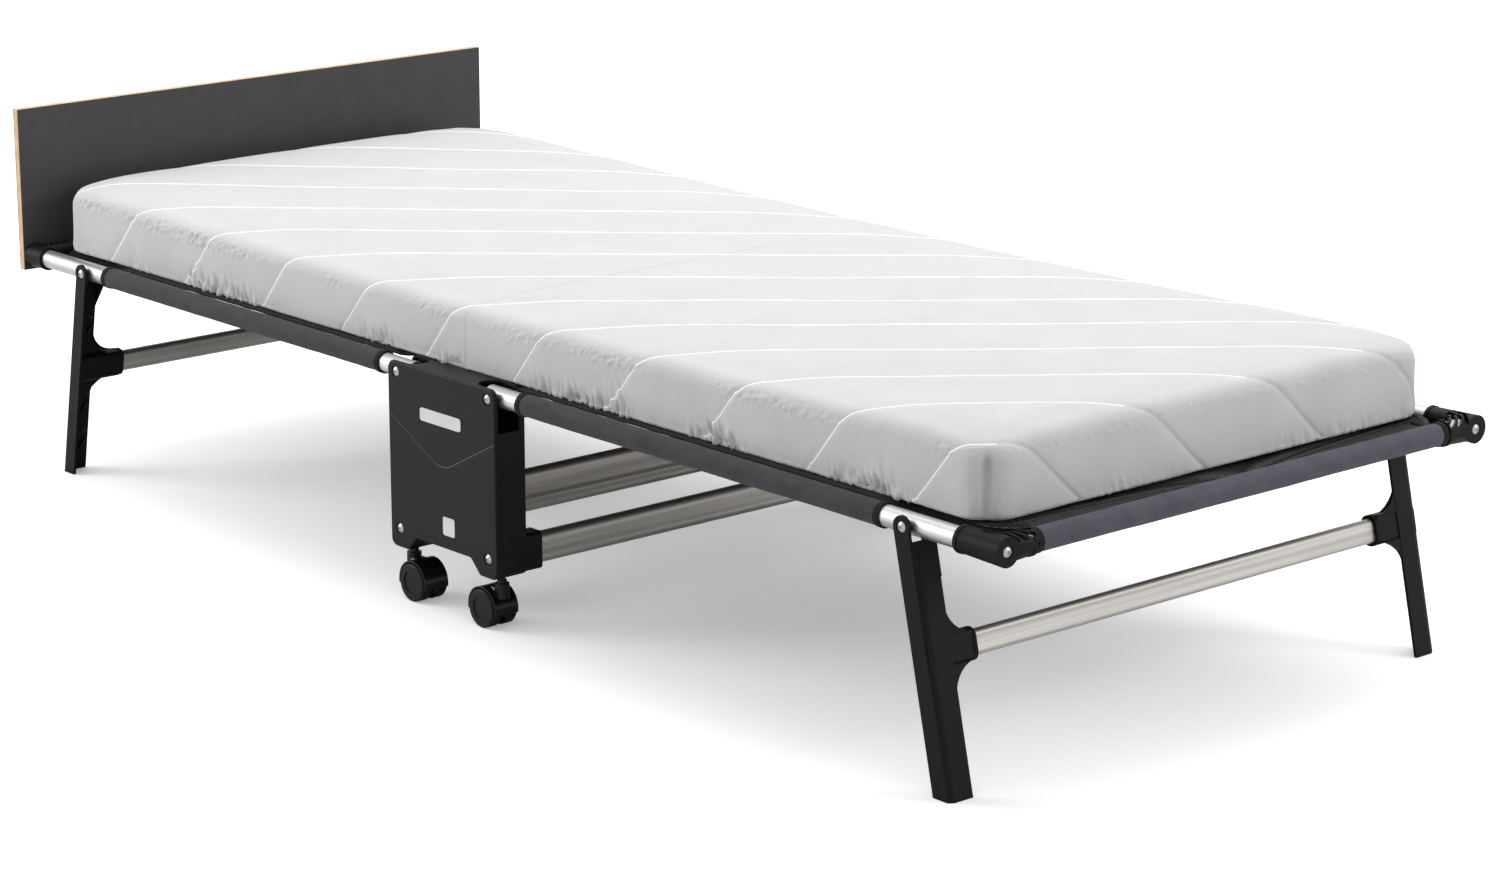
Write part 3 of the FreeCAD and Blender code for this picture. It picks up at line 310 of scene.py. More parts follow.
def woven(name, low, high, along, thread=0.0011, relief=0.0003, heather=0.5, sheen=0.12):
    """Plain-weave cloth of heathered yarn, whose flecks are long along one axis."""
    finish = Finish(name, low, 0.85)
    yarn = finish.noise(520.0, drawn_out(along, 0.1), detail=3.0, rough=0.7)
    blotches = finish.noise(35.0, detail=2.0)
    finish.color(finish.ramp(finish.mix(yarn, blotches, heather), low, high, (0.38, 0.62)))
    finish.roughness(finish.spread(yarn, 0.75, 0.95))
    finish.bump(finish.math("ADD", weave_height(finish, thread), finish.math("MULTIPLY", yarn, 0.6)), relief)
    finish.shader.inputs["Sheen Weight"].default_value = sheen
    finish.shader.inputs["Specular IOR Level"].default_value = 0.2
    return finish


def weave_height(finish, thread):
    """The over-and-under height of crossed threads."""
    return finish.math("MULTIPLY", finish.wave("X", thread, 0.6), finish.wave("Y", thread, 0.6))


def knit(name, low, high):
    """The mattress cover: a soft fine knit with a faint mottle."""
    finish = Finish(name, low, 0.8)
    mottle = finish.noise(14.0, detail=4.0)
    loops = finish.noise(1300.0, (1.0, 0.6, 1.0), detail=2.0)
    finish.color(finish.ramp(mottle, low, high))
    finish.roughness(finish.spread(loops, 0.72, 0.9))
    fuzz = finish.math("MULTIPLY", loops, 0.6)
    finish.bump(finish.math("ADD", fuzz, weave_height(finish, 0.0021)), 0.00025)
    finish.shader.inputs["Sheen Weight"].default_value = 0.35
    finish.shader.inputs["Sheen Roughness"].default_value = 0.5
    return finish


def knotted_mesh(name):
    """The deck's black polyester mesh: ribs along the bed and uneven knots, with painted shade in the small holes
    between them.
    """
    finish = Finish(name, (0.012, 0.012, 0.013), 0.7)
    knots = finish.noise(480.0, (0.8, 1.0, 1.0), detail=1.0)
    cover = finish.mix(finish.wave("Y", DECK_RIB_PITCH, 0.8), knots, 0.4)
    # Painted shade: the holes between the ribs and knots are coloured near black, as the dark seen through them.
    finish.color(finish.ramp(cover, gray(0.009), (0.075, 0.074, 0.078), (0.34, 0.66)))
    finish.roughness(finish.spread(knots, 0.6, 0.8))
    finish.bump(cover, 0.0008)
    finish.shader.inputs["Specular IOR Level"].default_value = 0.15
    return finish


def laminate(name, low, high):
    """The headboard's dark face: a fine pebbled laminate."""
    finish = Finish(name, low, 0.5)
    finish.color(finish.ramp(finish.noise(25.0, detail=6.0, rough=0.7), low, high))
    finish.roughness(finish.spread(finish.noise(400.0), 0.42, 0.58))
    finish.bump(finish.noise(1400.0, detail=3.0), 0.0001, 0.0004)
    return finish


def board_edge(name):
    """The raw edge of the headboard's core: pressed wood in fine layers."""
    finish = Finish(name, (0.6, 0.42, 0.24), 0.75)
    grain = finish.noise(260.0, (1.0, 0.2, 0.2), detail=5.0, rough=0.7)
    finish.color(finish.ramp(grain, (0.42, 0.26, 0.13), (0.72, 0.52, 0.32)))
    finish.bump(finish.noise(800.0, (1.0, 0.3, 0.3)), 0.0002, 0.0003)
    return finish


def stitching(name, low, high):
    """Twisted stitching yarn."""
    finish = Finish(name, high, 0.6)
    finish.color(finish.ramp(finish.noise(700.0), low, high))
    finish.bump(finish.noise(2000.0), 0.0002)
    return finish


# The shallow V line on the housing's face, into which a lighter grey is painted as a highlight: its
# height, its depth below the face, and how far it stays from the face's upright edges.
V_HIGHLIGHT_Z = (180 * MM, 252 * MM)
V_HIGHLIGHT_DEPTH = (0.25 * MM, 1.2 * MM)
V_HIGHLIGHT_MARGIN = 3 * MM


def housing_plastic(name):
    """Satin moulded plastic with a painted highlight: a lighter grey painted into its shallow V line."""
    finish = moulded(name, (0.0065, 0.0054, 0.005), (0.0095, 0.0082, 0.0076), (0.3, 0.42), shine=0.16)
    plain = finish.shader.inputs["Base Color"].links[0].from_socket
    place = finish.node("ShaderNodeSeparateXYZ", Vector=finish.position()).outputs
    from_middle = finish.math("ABSOLUTE", finish.math("SUBTRACT", place["X"], MIDDLE_X))
    depth = finish.math("SUBTRACT", HOUSING_FACE_Y, finish.math("ABSOLUTE", place["Y"]))
    highlight_mask = finish.math("LESS_THAN", from_middle, HOUSING_HALF_X - V_HIGHLIGHT_MARGIN)
    for socket, (low, high) in ((depth, V_HIGHLIGHT_DEPTH), (place["Z"], V_HIGHLIGHT_Z)):
        highlight_mask = finish.math("MULTIPLY", highlight_mask, finish.math("GREATER_THAN", socket, low))
        highlight_mask = finish.math("MULTIPLY", highlight_mask, finish.math("LESS_THAN", socket, high))
    # Painted highlight: the groove of the V line is coloured a lighter grey than the plain plastic.
    highlighted = finish.node("ShaderNodeMixRGB", Fac=highlight_mask, Color1=plain, Color2=(0.16, 0.15, 0.145, 1))
    finish.color(highlighted.outputs["Color"])
    return finish


ALUMINIUM = (gray(0.47), gray(0.72))
WARM_ALUMINIUM = ((0.42, 0.40, 0.375), (0.66, 0.64, 0.61))

# Every material of the record's slots. Colours come in pairs, the darker one first.
FINISHES = {
    finish.name: finish.material
    for finish in (
        housing_plastic("housing_plastic"),
        brushed("aluminium_bar", 1, *WARM_ALUMINIUM, (0.4, 0.6)),
        brushed("aluminium_tube", 0, *ALUMINIUM),
        moulded("moulded_plastic", (0.0042, 0.0040, 0.0038), (0.0075, 0.0072, 0.007), (0.36, 0.5)),
        moulded("plug_plastic", gray(0.01), gray(0.015), (0.5, 0.6)),
        plain_metal("bolt_steel", gray(0.5), (0.25, 0.4)),
        moulded("nylon", gray(0.015), gray(0.022), (0.4, 0.5)),
        moulded("collar_rubber", gray(0.0045), gray(0.008), (0.6, 0.75)),
        moulded("badge_plate", gray(0.56), gray(0.64), (0.35, 0.45), 0.00004, shine=0.25),
        moulded("label_film", (0.56, 0.56, 0.55), (0.64, 0.64, 0.63), (0.4, 0.5), 0.00003, 0.0002, 0.25),
        knotted_mesh("deck_mesh"),
        woven("sleeve_fabric", (0.027, 0.0252, 0.0285), (0.043, 0.0405, 0.0455), 0),
        woven("end_sleeve_fabric", (0.060, 0.056, 0.074), (0.082, 0.077, 0.100), 1),
        woven("binding_fabric", (0.004, 0.004, 0.0045), (0.010, 0.010, 0.0105), 0, heather=0.8, sheen=0.03),
        laminate("laminate", (0.024, 0.0235, 0.0275), (0.033, 0.032, 0.037)),
        board_edge("board_core"),
        knit("mattress_cover", (0.465, 0.45, 0.468), (0.50, 0.485, 0.503)),
        moulded(
            "castor_plastic", (0.0038, 0.0038, 0.0042), (0.0062, 0.0062, 0.0068),
            (0.14, 0.24), 0.00003, shine=0.3,
        ),
        moulded(
            "wheel_rubber", (0.0045, 0.0045, 0.005), (0.008, 0.008, 0.0085),
            (0.3, 0.42), 0.00005, shine=0.2,
        ),
    )
}
TUBE_ACROSS = brushed("aluminium_tube_across", 1, *ALUMINIUM).material
WHITE_THREAD = stitching("white_thread", gray(0.92), gray(1.0)).material


def dress_frame():
    """Gives every CAD node the finish of its material slot."""
    slots = {part["node"]: part["material_slot"] for part in frame["record"]["subparts"]}
    for name, thing in frame["nodes"].items():
        material = TUBE_ACROSS if name.endswith("end_tube") else FINISHES[slots[name]]
        if not thing.material_slots:
            thing.data.materials.append(material)
        for place in thing.material_slots:
            place.material = material


# ---- mattress ----

# The cover stands a little proud of the CAD solid at the foot.
FOOT_PROUD = 8 * MM
MATTRESS_HEAD_X = float(node_box("mattress_head")[0][0])
MATTRESS_FOOT_X = float(node_box("mattress_foot")[1][0]) + FOOT_PROUD
MATTRESS_BOTTOM = float(node_box("mattress_foot")[0][2])
CENTRE_X = (MATTRESS_HEAD_X + MATTRESS_FOOT_X) / 2
HALF_LENGTH = (MATTRESS_FOOT_X - MATTRESS_HEAD_X) / 2
HALF_WIDTH = float(node_box("mattress_foot")[1][1])
CORNER_R = 46 * MM
TOP_EDGE_R = 18 * MM
BOTTOM_EDGE_R = 13 * MM
CELL = 8 * MM
LAYERS = 13

# The top is lowest in the middle, and has risen by TOP_RISE at TOP_REACH from there.
TOP_MIDDLE = 396 * MM
TOP_RISE = 13 * MM
TOP_REACH = 950 * MM

# The quilted lines: their slant (along for each across), their pitch and how many there are.
LINE_SLOPE = 0.9
LINE_PITCH = 182 * MM
LINE_START = MIDDLE_X - 22 * MM
LINE_NUMBERS = range(-9, 7)
YARN_WIDTH = 1.7 * MM
YARN_HEIGHT = 0.4 * MM
YARN_END_GAP = 24 * MM
YARN_BOTTOM_GAP = 1.5 * MM

# A quilted line presses the cover in as a groove that is deeper on the sides, in a wide valley,
# and as a sharp fold on the end faces.
GROOVE_DEPTH = 0.35 * MM
GROOVE_SIDE_DEPTH = 0.5 * MM
GROOVE_WIDTH = 4.5 * MM
VALLEY_DEPTH = 0.5 * MM
VALLEY_WIDTH = 17 * MM
END_FOLD_DEPTH = 1.5 * MM
END_FOLD_WIDTH = 2.6 * MM

# Gathers along the lower edge, tucks along the upper edge and broad lumps everywhere.
GATHER_HEIGHT = 10.5 * MM
FINE_GATHER_HEIGHT = 3.5 * MM
GATHER_SINK = 1.0 * MM
GATHER_REACH = 20 * MM
GATHER_REACH_CHANGE = 12 * MM
TUCK_HEIGHT = 3.6 * MM
TUCK_DROP = 17 * MM
TUCK_REACH = 10 * MM
LUMP_HEIGHT = 1.4 * MM
END_FACE_SHARE = 0.2

# Each upright corner: a broad dent, a crease in it, and how far the top sinks beside it.
DENT_DEPTH = 6 * MM
DENT_WIDTH = 20 * MM
CREASE_DEPTH = 13 * MM
CREASE_WIDTH = 5 * MM
APEX_SINK = 9 * MM
APEX_WIDTH = 50 * MM
APEX_PLACE = 0.62 * CORNER_R


def mattress_top(x):
    """Height of the mattress's top along the bed; it rises a little towards both ends."""
    return TOP_MIDDLE + TOP_RISE * ((x - MIDDLE_X) / TOP_REACH) ** 2


def box_surface(counts):
    """The surface of a grid of cells, as whole-number corners and quads."""
    index = {}
    faces = []

    def corner_id(key):
        return index.setdefault(key, len(index))

    for axis in range(3):
        u, v = (axis + 1) % 3, (axis + 2) % 3
        for side in (0, counts[axis]):
            for a in range(counts[u]):
                for b in range(counts[v]):
                    ring = []
                    for da, db in ((0, 0), (1, 0), (1, 1), (0, 1)):
                        key = [0, 0, 0]
                        key[axis], key[u], key[v] = side, a + da, b + db
                        ring.append(corner_id(tuple(key)))
                    faces.append(ring if side else ring[::-1])
    return np.array(list(index)), faces


def round_pair(s, t, radius):
    """Rounds the square corner between two distances from the faces that meet there."""
    ds = np.clip(radius - s, 0, None)
    dt = np.clip(radius - t, 0, None)
    length = np.maximum(np.hypot(ds, dt), TINY)
    active = (ds > 0) & (dt > 0)
    return (
        np.where(active, radius - radius * ds / length, s),
        np.where(active, radius - radius * dt / length, t),
    )


def nearest_inner(x, y):
    """The nearest points of the rectangle that joins the centres of the rounded corners."""
    inner_x = np.clip(x - CENTRE_X, CORNER_R - HALF_LENGTH, HALF_LENGTH - CORNER_R)
    inner_y = np.clip(y, CORNER_R - HALF_WIDTH, HALF_WIDTH - CORNER_R)
    return inner_x, inner_y


def mattress_shape(x, y, height_share):
    """Carries points of a sharp box to the rounded mattress. Returns their positions."""
    inner_x, inner_y = nearest_inner(x, y)
    dx, dy = x - CENTRE_X - inner_x, y - inner_y
    reach = np.maximum(np.abs(dx), np.abs(dy))
    length = np.maximum(np.hypot(dx, dy), TINY)
    inset = np.minimum(HALF_LENGTH - np.abs(x - CENTRE_X), HALF_WIDTH - np.abs(y))
    top = mattress_top(x)
    drop = (top - MATTRESS_BOTTOM) * (1 - height_share)
    rise = (top - MATTRESS_BOTTOM) * height_share
    s_top, drop_new = round_pair(inset, drop, TOP_EDGE_R)
    s_bottom, rise_new = round_pair(inset, rise, BOTTOM_EDGE_R)
    radius = reach - np.maximum(s_top - inset, s_bottom - inset)
    z = np.where(height_share > 0.5, top - drop_new, MATTRESS_BOTTOM + rise_new)
    return np.stack([CENTRE_X + inner_x + dx / length * radius, inner_y + dy / length * radius, z], 1)


def cloth_swell(thing, pinned, pressure, cap, frames=20):
    """Inflates a closed fabric shape with Blender's cloth. Returns each point's move, up to cap."""
    rest = coordinates(thing)
    group = thing.vertex_groups.new(name="pinned")
    group.add([int(i) for i in pinned], 1.0, "REPLACE")
    cloth = thing.modifiers.new("Cloth", "CLOTH")
    cloth.settings.quality = 5
    cloth.settings.mass = 0.25
    cloth.settings.tension_stiffness = 12
    cloth.settings.compression_stiffness = 12
    cloth.settings.bending_stiffness = 0.4
    cloth.settings.use_pressure = True
    cloth.settings.uniform_pressure_force = pressure
    cloth.settings.vertex_group_mass = "pinned"
    cloth.settings.effector_weights.gravity = 0
    cloth.collision_settings.use_self_collision = False
    cloth.point_cache.frame_start = 1
    cloth.point_cache.frame_end = frames
    scene = bpy.context.scene
    for number in range(1, frames + 1):
        scene.frame_set(number)
    moved = coordinates(thing.evaluated_get(bpy.context.evaluated_depsgraph_get())) - rest
    thing.modifiers.clear()
    thing.vertex_groups.clear()
    scene.frame_set(1)
    length = np.maximum(np.linalg.norm(moved, axis=1), TINY)
    limited = cap * np.tanh(length / cap)
    return moved * (limited / length)[:, None]


def fabric_run(co):
    """Each point's place on the cover as if it were laid flat, its drop below the top, and its share
    of the way out from the top to the sides: distance along, distance across, drop and share."""
    inner_x, inner_y = nearest_inner(co[:, 0], co[:, 1])
    dx, dy = co[:, 0] - CENTRE_X - inner_x, co[:, 1] - inner_y
    length = np.maximum(np.hypot(dx, dy), TINY)
    side = length / CORNER_R
    drop = np.clip(mattress_top(co[:, 0]) - co[:, 2], 0, None) * smooth(0.4, 0.95, side)
    along = co[:, 0] + drop * np.sign(dx) * (dx / length) ** 2
    across = co[:, 1] + drop * np.sign(dy) * (dy / length) ** 2
    return along, across, drop, side


def end_distance(co):
    """How far each point is from the nearer end of the mattress."""
    return np.minimum(co[:, 0] - MATTRESS_HEAD_X, MATTRESS_FOOT_X - co[:, 0])


def line_field(along, across):
    """A value that grows across the quilted lines and is constant along each of them."""
    return along - LINE_SLOPE * across


def line_values():
    """The line_field value of every quilted line."""
    base = LINE_START + LINE_SLOPE * HALF_WIDTH
    return [base + LINE_PITCH * number for number in LINE_NUMBERS]


def refine_sides(thing):
    """Splits the faces of the upright sides, so that they can hold small gathers."""
    work = bmesh.new()
    work.from_mesh(thing.data)
    middle = (MATTRESS_BOTTOM + TOP_MIDDLE) / 2
    reach = (TOP_MIDDLE - MATTRESS_BOTTOM) / 2 + TOP_RISE
    co = np.array([f.calc_center_median() for f in work.faces])
    side = fabric_run(co)[-1]
    work.faces.ensure_lookup_table()
    chosen = set()
    for number in np.nonzero((side > 0.8) & (np.abs(co[:, 2] - middle) < reach))[0]:
        chosen.update(work.faces[int(number)].edges)
    bmesh.ops.subdivide_edges(work, edges=list(chosen), cuts=1, use_grid_fill=True, smooth=0.0)
    work.to_mesh(thing.data)
    work.free()


def sew_details(thing):
    """Presses in the quilted lines, gathers the lower edge and puckers the upper edge."""
    co = coordinates(thing)
    normals = vertex_normals(thing)
    along, across, drop, side = fabric_run(co)
    field = line_field(along, across)
    steep = math.hypot(1, LINE_SLOPE)
    move = np.zeros(len(co))
    at_end = side * smooth(50 * MM, 20 * MM, end_distance(co))
    for value in line_values():
        distance = (field - value) / steep
        move -= (GROOVE_DEPTH + GROOVE_SIDE_DEPTH * side) * bell(distance, GROOVE_WIDTH)
        move -= VALLEY_DEPTH * bell(distance, VALLEY_WIDTH)
        move -= END_FOLD_DEPTH * at_end * bell(distance, END_FOLD_WIDTH)
    height = co[:, 2] - MATTRESS_BOTTOM
    folded = between(END_FACE_SHARE, 1, smooth(25 * MM, 80 * MM, end_distance(co)))
    move += smooth(0.7, 0.92, side) * (height > 2 * MM) * folded * gathers(co, height)
    move += smooth(0.5, 0.95, side) * folded * tucks(co, drop)
    move += noise_values(co, scale=6.5, seed=20.0) * LUMP_HEIGHT * smooth(2 * MM, 10 * MM, height)
    co += normals * move[:, None]
    set_coordinates(thing, co)


def edge_noise(co, scale, seed):
    """Noise that changes along an edge of the mattress but not with height."""
    return noise_values(co * np.array([1, 1, 0]), scale, seed)


def fold_noise(co, lean, upright, scale, seed):
    """Noise in the form of folds that lean over sideways; upright is small for long folds."""
    leaning = co + co[:, 2:3] * np.array([*lean, 0])
    return noise_values(leaning * np.array([1, 1, upright]), scale, seed)


def gathers(co, height):
    """Upright folds in patches along the lower edge."""
    folds = fold_noise(co, lean=(0.25, 0.25), upright=0.1, scale=150.0, seed=1.0)
    fine = fold_noise(co, lean=(0.25, 0.25), upright=0.2, scale=260.0, seed=5.0)
    patches = np.clip(edge_noise(co, scale=9.0, seed=3.0) * 2.4 + 0.5, 0.08, 1.0)
    reach = GATHER_REACH + GATHER_REACH_CHANGE * edge_noise(co, scale=30.0, seed=9.0)
    return patches * bell(height, reach) * (folds * GATHER_HEIGHT + fine * FINE_GATHER_HEIGHT - GATHER_SINK)


def tucks(co, drop):
    """Short slanted tucks in patches along the upper edge."""
    folds = fold_noise(co, lean=(-0.7, 0.7), upright=0.22, scale=165.0, seed=8.0)
    patches = np.clip(edge_noise(co, scale=7.0, seed=12.0) * 2.4 + 0.4, 0.05, 1.0)
    return patches * bell(drop - TUCK_DROP, TUCK_REACH) * folds * TUCK_HEIGHT


def dent_corners(co):
    """Pulls each upright corner in along a soft crease, and sinks the top beside it."""
    height = co[:, 2] - MATTRESS_BOTTOM
    for end_side in (-1, 1):
        for long_side in (-1, 1):
            dx = (co[:, 0] - CENTRE_X) * end_side - (HALF_LENGTH - CORNER_R)
            dy = co[:, 1] * long_side - (HALF_WIDTH - CORNER_R)
            length = np.maximum(np.hypot(dx, dy), TINY)
            turn = (np.arctan2(dy, dx) - math.radians(45)) * CORNER_R
            crease = smooth(88 * MM, 70 * MM, height) * (0.4 + height / (120 * MM)) * CREASE_DEPTH
            depth = bell(turn, DENT_WIDTH) * DENT_DEPTH + bell(turn, CREASE_WIDTH) * crease
            depth *= smooth(0.5, 0.95, length / CORNER_R) * (dx > 0) * (dy > 0)
            co[:, 0] -= end_side * dx / length * depth
            co[:, 1] -= long_side * dy / length * depth
            near = np.hypot(dx - APEX_PLACE, dy - APEX_PLACE)
            co[:, 2] -= bell(near, APEX_WIDTH) * APEX_SINK * smooth(40 * MM, 90 * MM, height)
    return co


def build_mattress():
    """The whole mattress as one closed mesh, swollen by cloth simulation and then sewn."""
    counts = (round(2 * HALF_LENGTH / CELL), round(2 * HALF_WIDTH / CELL), LAYERS)
    grid, faces = box_surface(counts)
    share = grid / np.array(counts)
    x = between(MATTRESS_HEAD_X, MATTRESS_FOOT_X, share[:, 0])
    y = between(-HALF_WIDTH, HALF_WIDTH, share[:, 1])
    co = mattress_shape(x, y, share[:, 2])
    thing = mesh_object("mattress", co, faces, FINISHES["mattress_cover"])
    pinned = np.nonzero(grid[:, 2] == 0)[0]
    set_coordinates(thing, co + cloth_swell(thing, pinned, pressure=4.0, cap=5 * MM))
    set_coordinates(thing, dent_corners(coordinates(thing)))
    thing.modifiers.new("Subdivision", "SUBSURF").levels = 1
    apply_modifiers(thing)
    refine_sides(thing)
    sew_details(thing)
    return thing


# The yarn's cross-section, as shares of its width and of its height.
RIBBON_PROFILE = ((-0.5, 0), (-0.3, 1), (0.3, 1), (0.5, 0))
SLIVER = 1e-16


def iso_ribbons(thing, field, values, width, height, shown):
    """Raised yarn along the curves where a vertex value is constant. Returns vertices and faces."""
    co = coordinates(thing)
    normals = vertex_normals(thing)
    thing.data.calc_loop_triangles()
    triangles = np.zeros(len(thing.data.loop_triangles) * 3, int)
    thing.data.loop_triangles.foreach_get("vertices", triangles)
    triangles = triangles.reshape(-1, 3)
    vertices, faces, known = [], [], {}

    def crossing(i, j, value, number, slope):
        """The number of the first of the points across the yarn where its curve cuts an edge."""
        key = (number, min(i, j), max(i, j))
        if key not in known:
            t = (value - field[i]) / (field[j] - field[i])
            point = co[i] + (co[j] - co[i]) * t
            normal = normals[i] + (normals[j] - normals[i]) * t
            normal /= np.linalg.norm(normal)
            side = slope - normal * np.dot(slope, normal)
            side *= width / max(np.linalg.norm(side), TINY)
            known[key] = len(vertices)
            for share, up in RIBBON_PROFILE:
                vertices.append(point + side * share + normal * height * up)
        return known[key]

    for number, value in enumerate(values):
        above = field[triangles] > value
        hit = above.any(1) & ~above.all(1)
        for triangle in triangles[hit]:
            a, b, c = (int(i) for i in triangle)
            if not shown[a]:
                continue
            edge_1, edge_2 = co[b] - co[a], co[c] - co[a]
            normal = np.cross(edge_1, edge_2)
            area = np.dot(normal, normal)
            if area < SLIVER:
                continue
            slope = (
                np.cross(normal, co[a] - co[c]) * (field[b] - field[a])
                + np.cross(normal, edge_1) * (field[c] - field[a])
            ) / area
            ends = [
                crossing(i, j, value, number, slope)
                for i, j in ((a, b), (b, c), (c, a))
                if (field[i] > value) != (field[j] > value)
            ]
            if len(ends) == 2 and ends[0] != ends[1]:
                p, q = ends
                if np.dot(np.cross(vertices[q] - vertices[p], slope), normal) < 0:
                    p, q = q, p
                for k in range(len(RIBBON_PROFILE) - 1):
                    faces.append((p + k, q + k, q + k + 1, p + k + 1))
    return vertices, faces


def at_middle(vertex):
    """Whether a vertex is on the plane between the two halves."""
    return abs(vertex.co.x - MIDDLE_X) < 0.001 * MM


def cut_at_middle(thing, name, keep_foot):
    """A copy of one half of a mesh, closed where it was cut."""
    half = thing.copy()
    half.data = thing.data.copy()
    half.name = name
    bpy.context.scene.collection.objects.link(half)
    work = bmesh.new()
    work.from_mesh(half.data)
    geometry = work.verts[:] + work.edges[:] + work.faces[:]
    bmesh.ops.bisect_plane(
        work, geom=geometry, plane_co=(MIDDLE_X, 0, 0), plane_no=(1, 0, 0),
        clear_outer=not keep_foot, clear_inner=keep_foot,
    )
    rim = [e for e in work.edges if e.is_boundary and all(at_middle(v) for v in e.verts)]
    if rim:
        bmesh.ops.holes_fill(work, edges=rim, sides=0)
    work.to_mesh(half.data)
    work.free()
    return half


def bend_half(thing):
    """Bakes a half of the soft goods' placement into its mesh."""
    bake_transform(thing)


def stand_for(end, end_node, centre_node):
    """Lets a half of the soft goods replace its CAD node; the foot half also replaces the centre's."""
    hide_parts(end_node)
    if end == "foot":
        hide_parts(centre_node)


def make_mattress():
    """The two mattress halves and the yarn on them."""
    whole = build_mattress()
    co = coordinates(whole)
    along, across, _, _ = fabric_run(co)
    field = line_field(along, across)
    shown = (co[:, 2] > MATTRESS_BOTTOM + YARN_BOTTOM_GAP) & (end_distance(co) > YARN_END_GAP)
    vertices, faces = iso_ribbons(whole, field, line_values(), YARN_WIDTH, YARN_HEIGHT, shown)
    yarn = mesh_object("mattress_yarn", vertices, faces, WHITE_THREAD)
    for end in ENDS:
        half = cut_at_middle(whole, "mattress_cover_" + end, end == "foot")
        stand_for(end, "mattress_" + end, "mattress_centre")
        bend_half(half)
        stitches = cut_at_middle(yarn, "mattress_stitching_" + end, end == "foot")
        bend_half(stitches)
    bpy.data.objects.remove(whole)
    bpy.data.objects.remove(yarn)


# ---- deck ----

# Half widths of the deck: at the housing, on the side rails, past the sleeves and at the end corners.
DECK_NARROW = 370.5 * MM
DECK_WIDE = RAIL_Y - 6 * MM
DECK_NECK = 374 * MM
DECK_EAR = 376 * MM

# Along its edge: the widening beside the housing, the narrowing at the sleeve's end and the corner.
HOUSING_TAPER = 12 * MM
NECK_LEAD = 25 * MM
NECK_LENGTH = 70 * MM
DECK_CORNER_R = 50 * MM
DECK_END_GAP = 9.5 * MM

DECK_LOW, DECK_HIGH = node_box("foot_deck")
DECK_Z = float(DECK_LOW[2] + DECK_HIGH[2]) / 2
DECK_DIP = 1.2 * MM
DECK_HEM = 10 * MM
DECK_RIB_HEIGHT = 0.45 * MM

# The tape's cross-section, its height above the deck, and its tilt in degrees in three places.
TAPE_WIDTH = 21 * MM
TAPE_THICKNESS = 3.4 * MM
TAPE_SIDES = 20
TAPE_LIFT = 1.2 * MM
TAPE_RIPPLE = 0.3 * MM
TILT_ON_SLEEVE = -8
TILT_AT_EAR = 42
TILT_AT_END = 8


def deck_edge(end):
    """The long edge of a deck half as (distance from the middle, half width, tape tilt) stations."""
    sleeve = node_box(end + "_side_sleeves")
    near, far = sorted(abs(float(corner[0]) - MIDDLE_X) for corner in sleeve)
    turn = abs(END_TUBE_X[end] - MIDDLE_X) - DECK_END_GAP - DECK_CORNER_R
    neck = far - NECK_LEAD
    ear = neck + NECK_LENGTH
    stations = [(x, DECK_NARROW, 0) for x in np.linspace(0, HOUSING_HALF_X, 24)]
    for share in np.linspace(0.1, 1, 10):
        width = between(DECK_NARROW, DECK_WIDE, float(smooth(0, 1, share)))
        stations.append((HOUSING_HALF_X + HOUSING_TAPER * share, width, TILT_ON_SLEEVE * share))
    stations += [(x, DECK_WIDE, TILT_ON_SLEEVE) for x in np.linspace(near, neck, 60)]
    for share in np.linspace(0.06, 1, 18):
        ease = float(smooth(0, 1, share))
        tilt = between(TILT_ON_SLEEVE, TILT_AT_EAR, ease)
        stations.append((neck + NECK_LENGTH * share, between(DECK_WIDE, DECK_NECK, ease), tilt))
    for share in np.linspace(0.1, 1, 10):
        width = between(DECK_NECK, DECK_EAR, float(smooth(0.3, 1, share)))
        stations.append((between(ear, turn, share), width, TILT_AT_EAR))
    for degrees in np.linspace(8, 90, 11):
        a = math.radians(degrees)
        width = DECK_EAR - DECK_CORNER_R * (1 - math.cos(a))
        tilt = between(TILT_AT_EAR, TILT_AT_END, degrees / 90)
        stations.append((turn + DECK_CORNER_R * math.sin(a), width, tilt))
    return stations


def make_deck(end):
    """One half of the ribbed mesh deck, and the folded tape along each of its long edges."""
    sign = 1 if end == "foot" else -1
    stations = deck_edge(end)
    columns = 4 * round(2 * DECK_NARROW / DECK_RIB_PITCH) + 1
    ribs = np.cos(np.arange(columns) * math.pi / 2) * DECK_RIB_HEIGHT
    vertices = []
    for x, half_width, _ in stations:
        for share, rib in zip(np.linspace(-1, 1, columns), ribs):
            dip = DECK_DIP * (1 - share**2)
            vertices.append((MIDDLE_X + sign * x, (half_width - DECK_HEM) * share, DECK_Z - dip + rib))
    faces = grid_faces(len(stations), columns)
    panel = mesh_object("deck_mesh_" + end, vertices, faces, FINISHES["deck_mesh"])
    stand_for(end, end + "_deck", "deck_centre")
    bend_half(panel)
    for side, label in ((-1, "right"), (1, "left")):
        make_tape(f"deck_tape_{end}_{label}", sign, side, stations)


def tape_profile():
    """The tape's cross-section as (across, up) points: a flat band with well rounded edges."""
    points = []
    for k in range(TAPE_SIDES):
        a = math.tau * k / TAPE_SIDES
        across = math.copysign(abs(math.cos(a)) ** 0.35, math.cos(a)) * TAPE_WIDTH / 2
        up = math.copysign(abs(math.sin(a)) ** 0.7, math.sin(a)) * TAPE_THICKNESS / 2
        points.append((across, up))
    return points


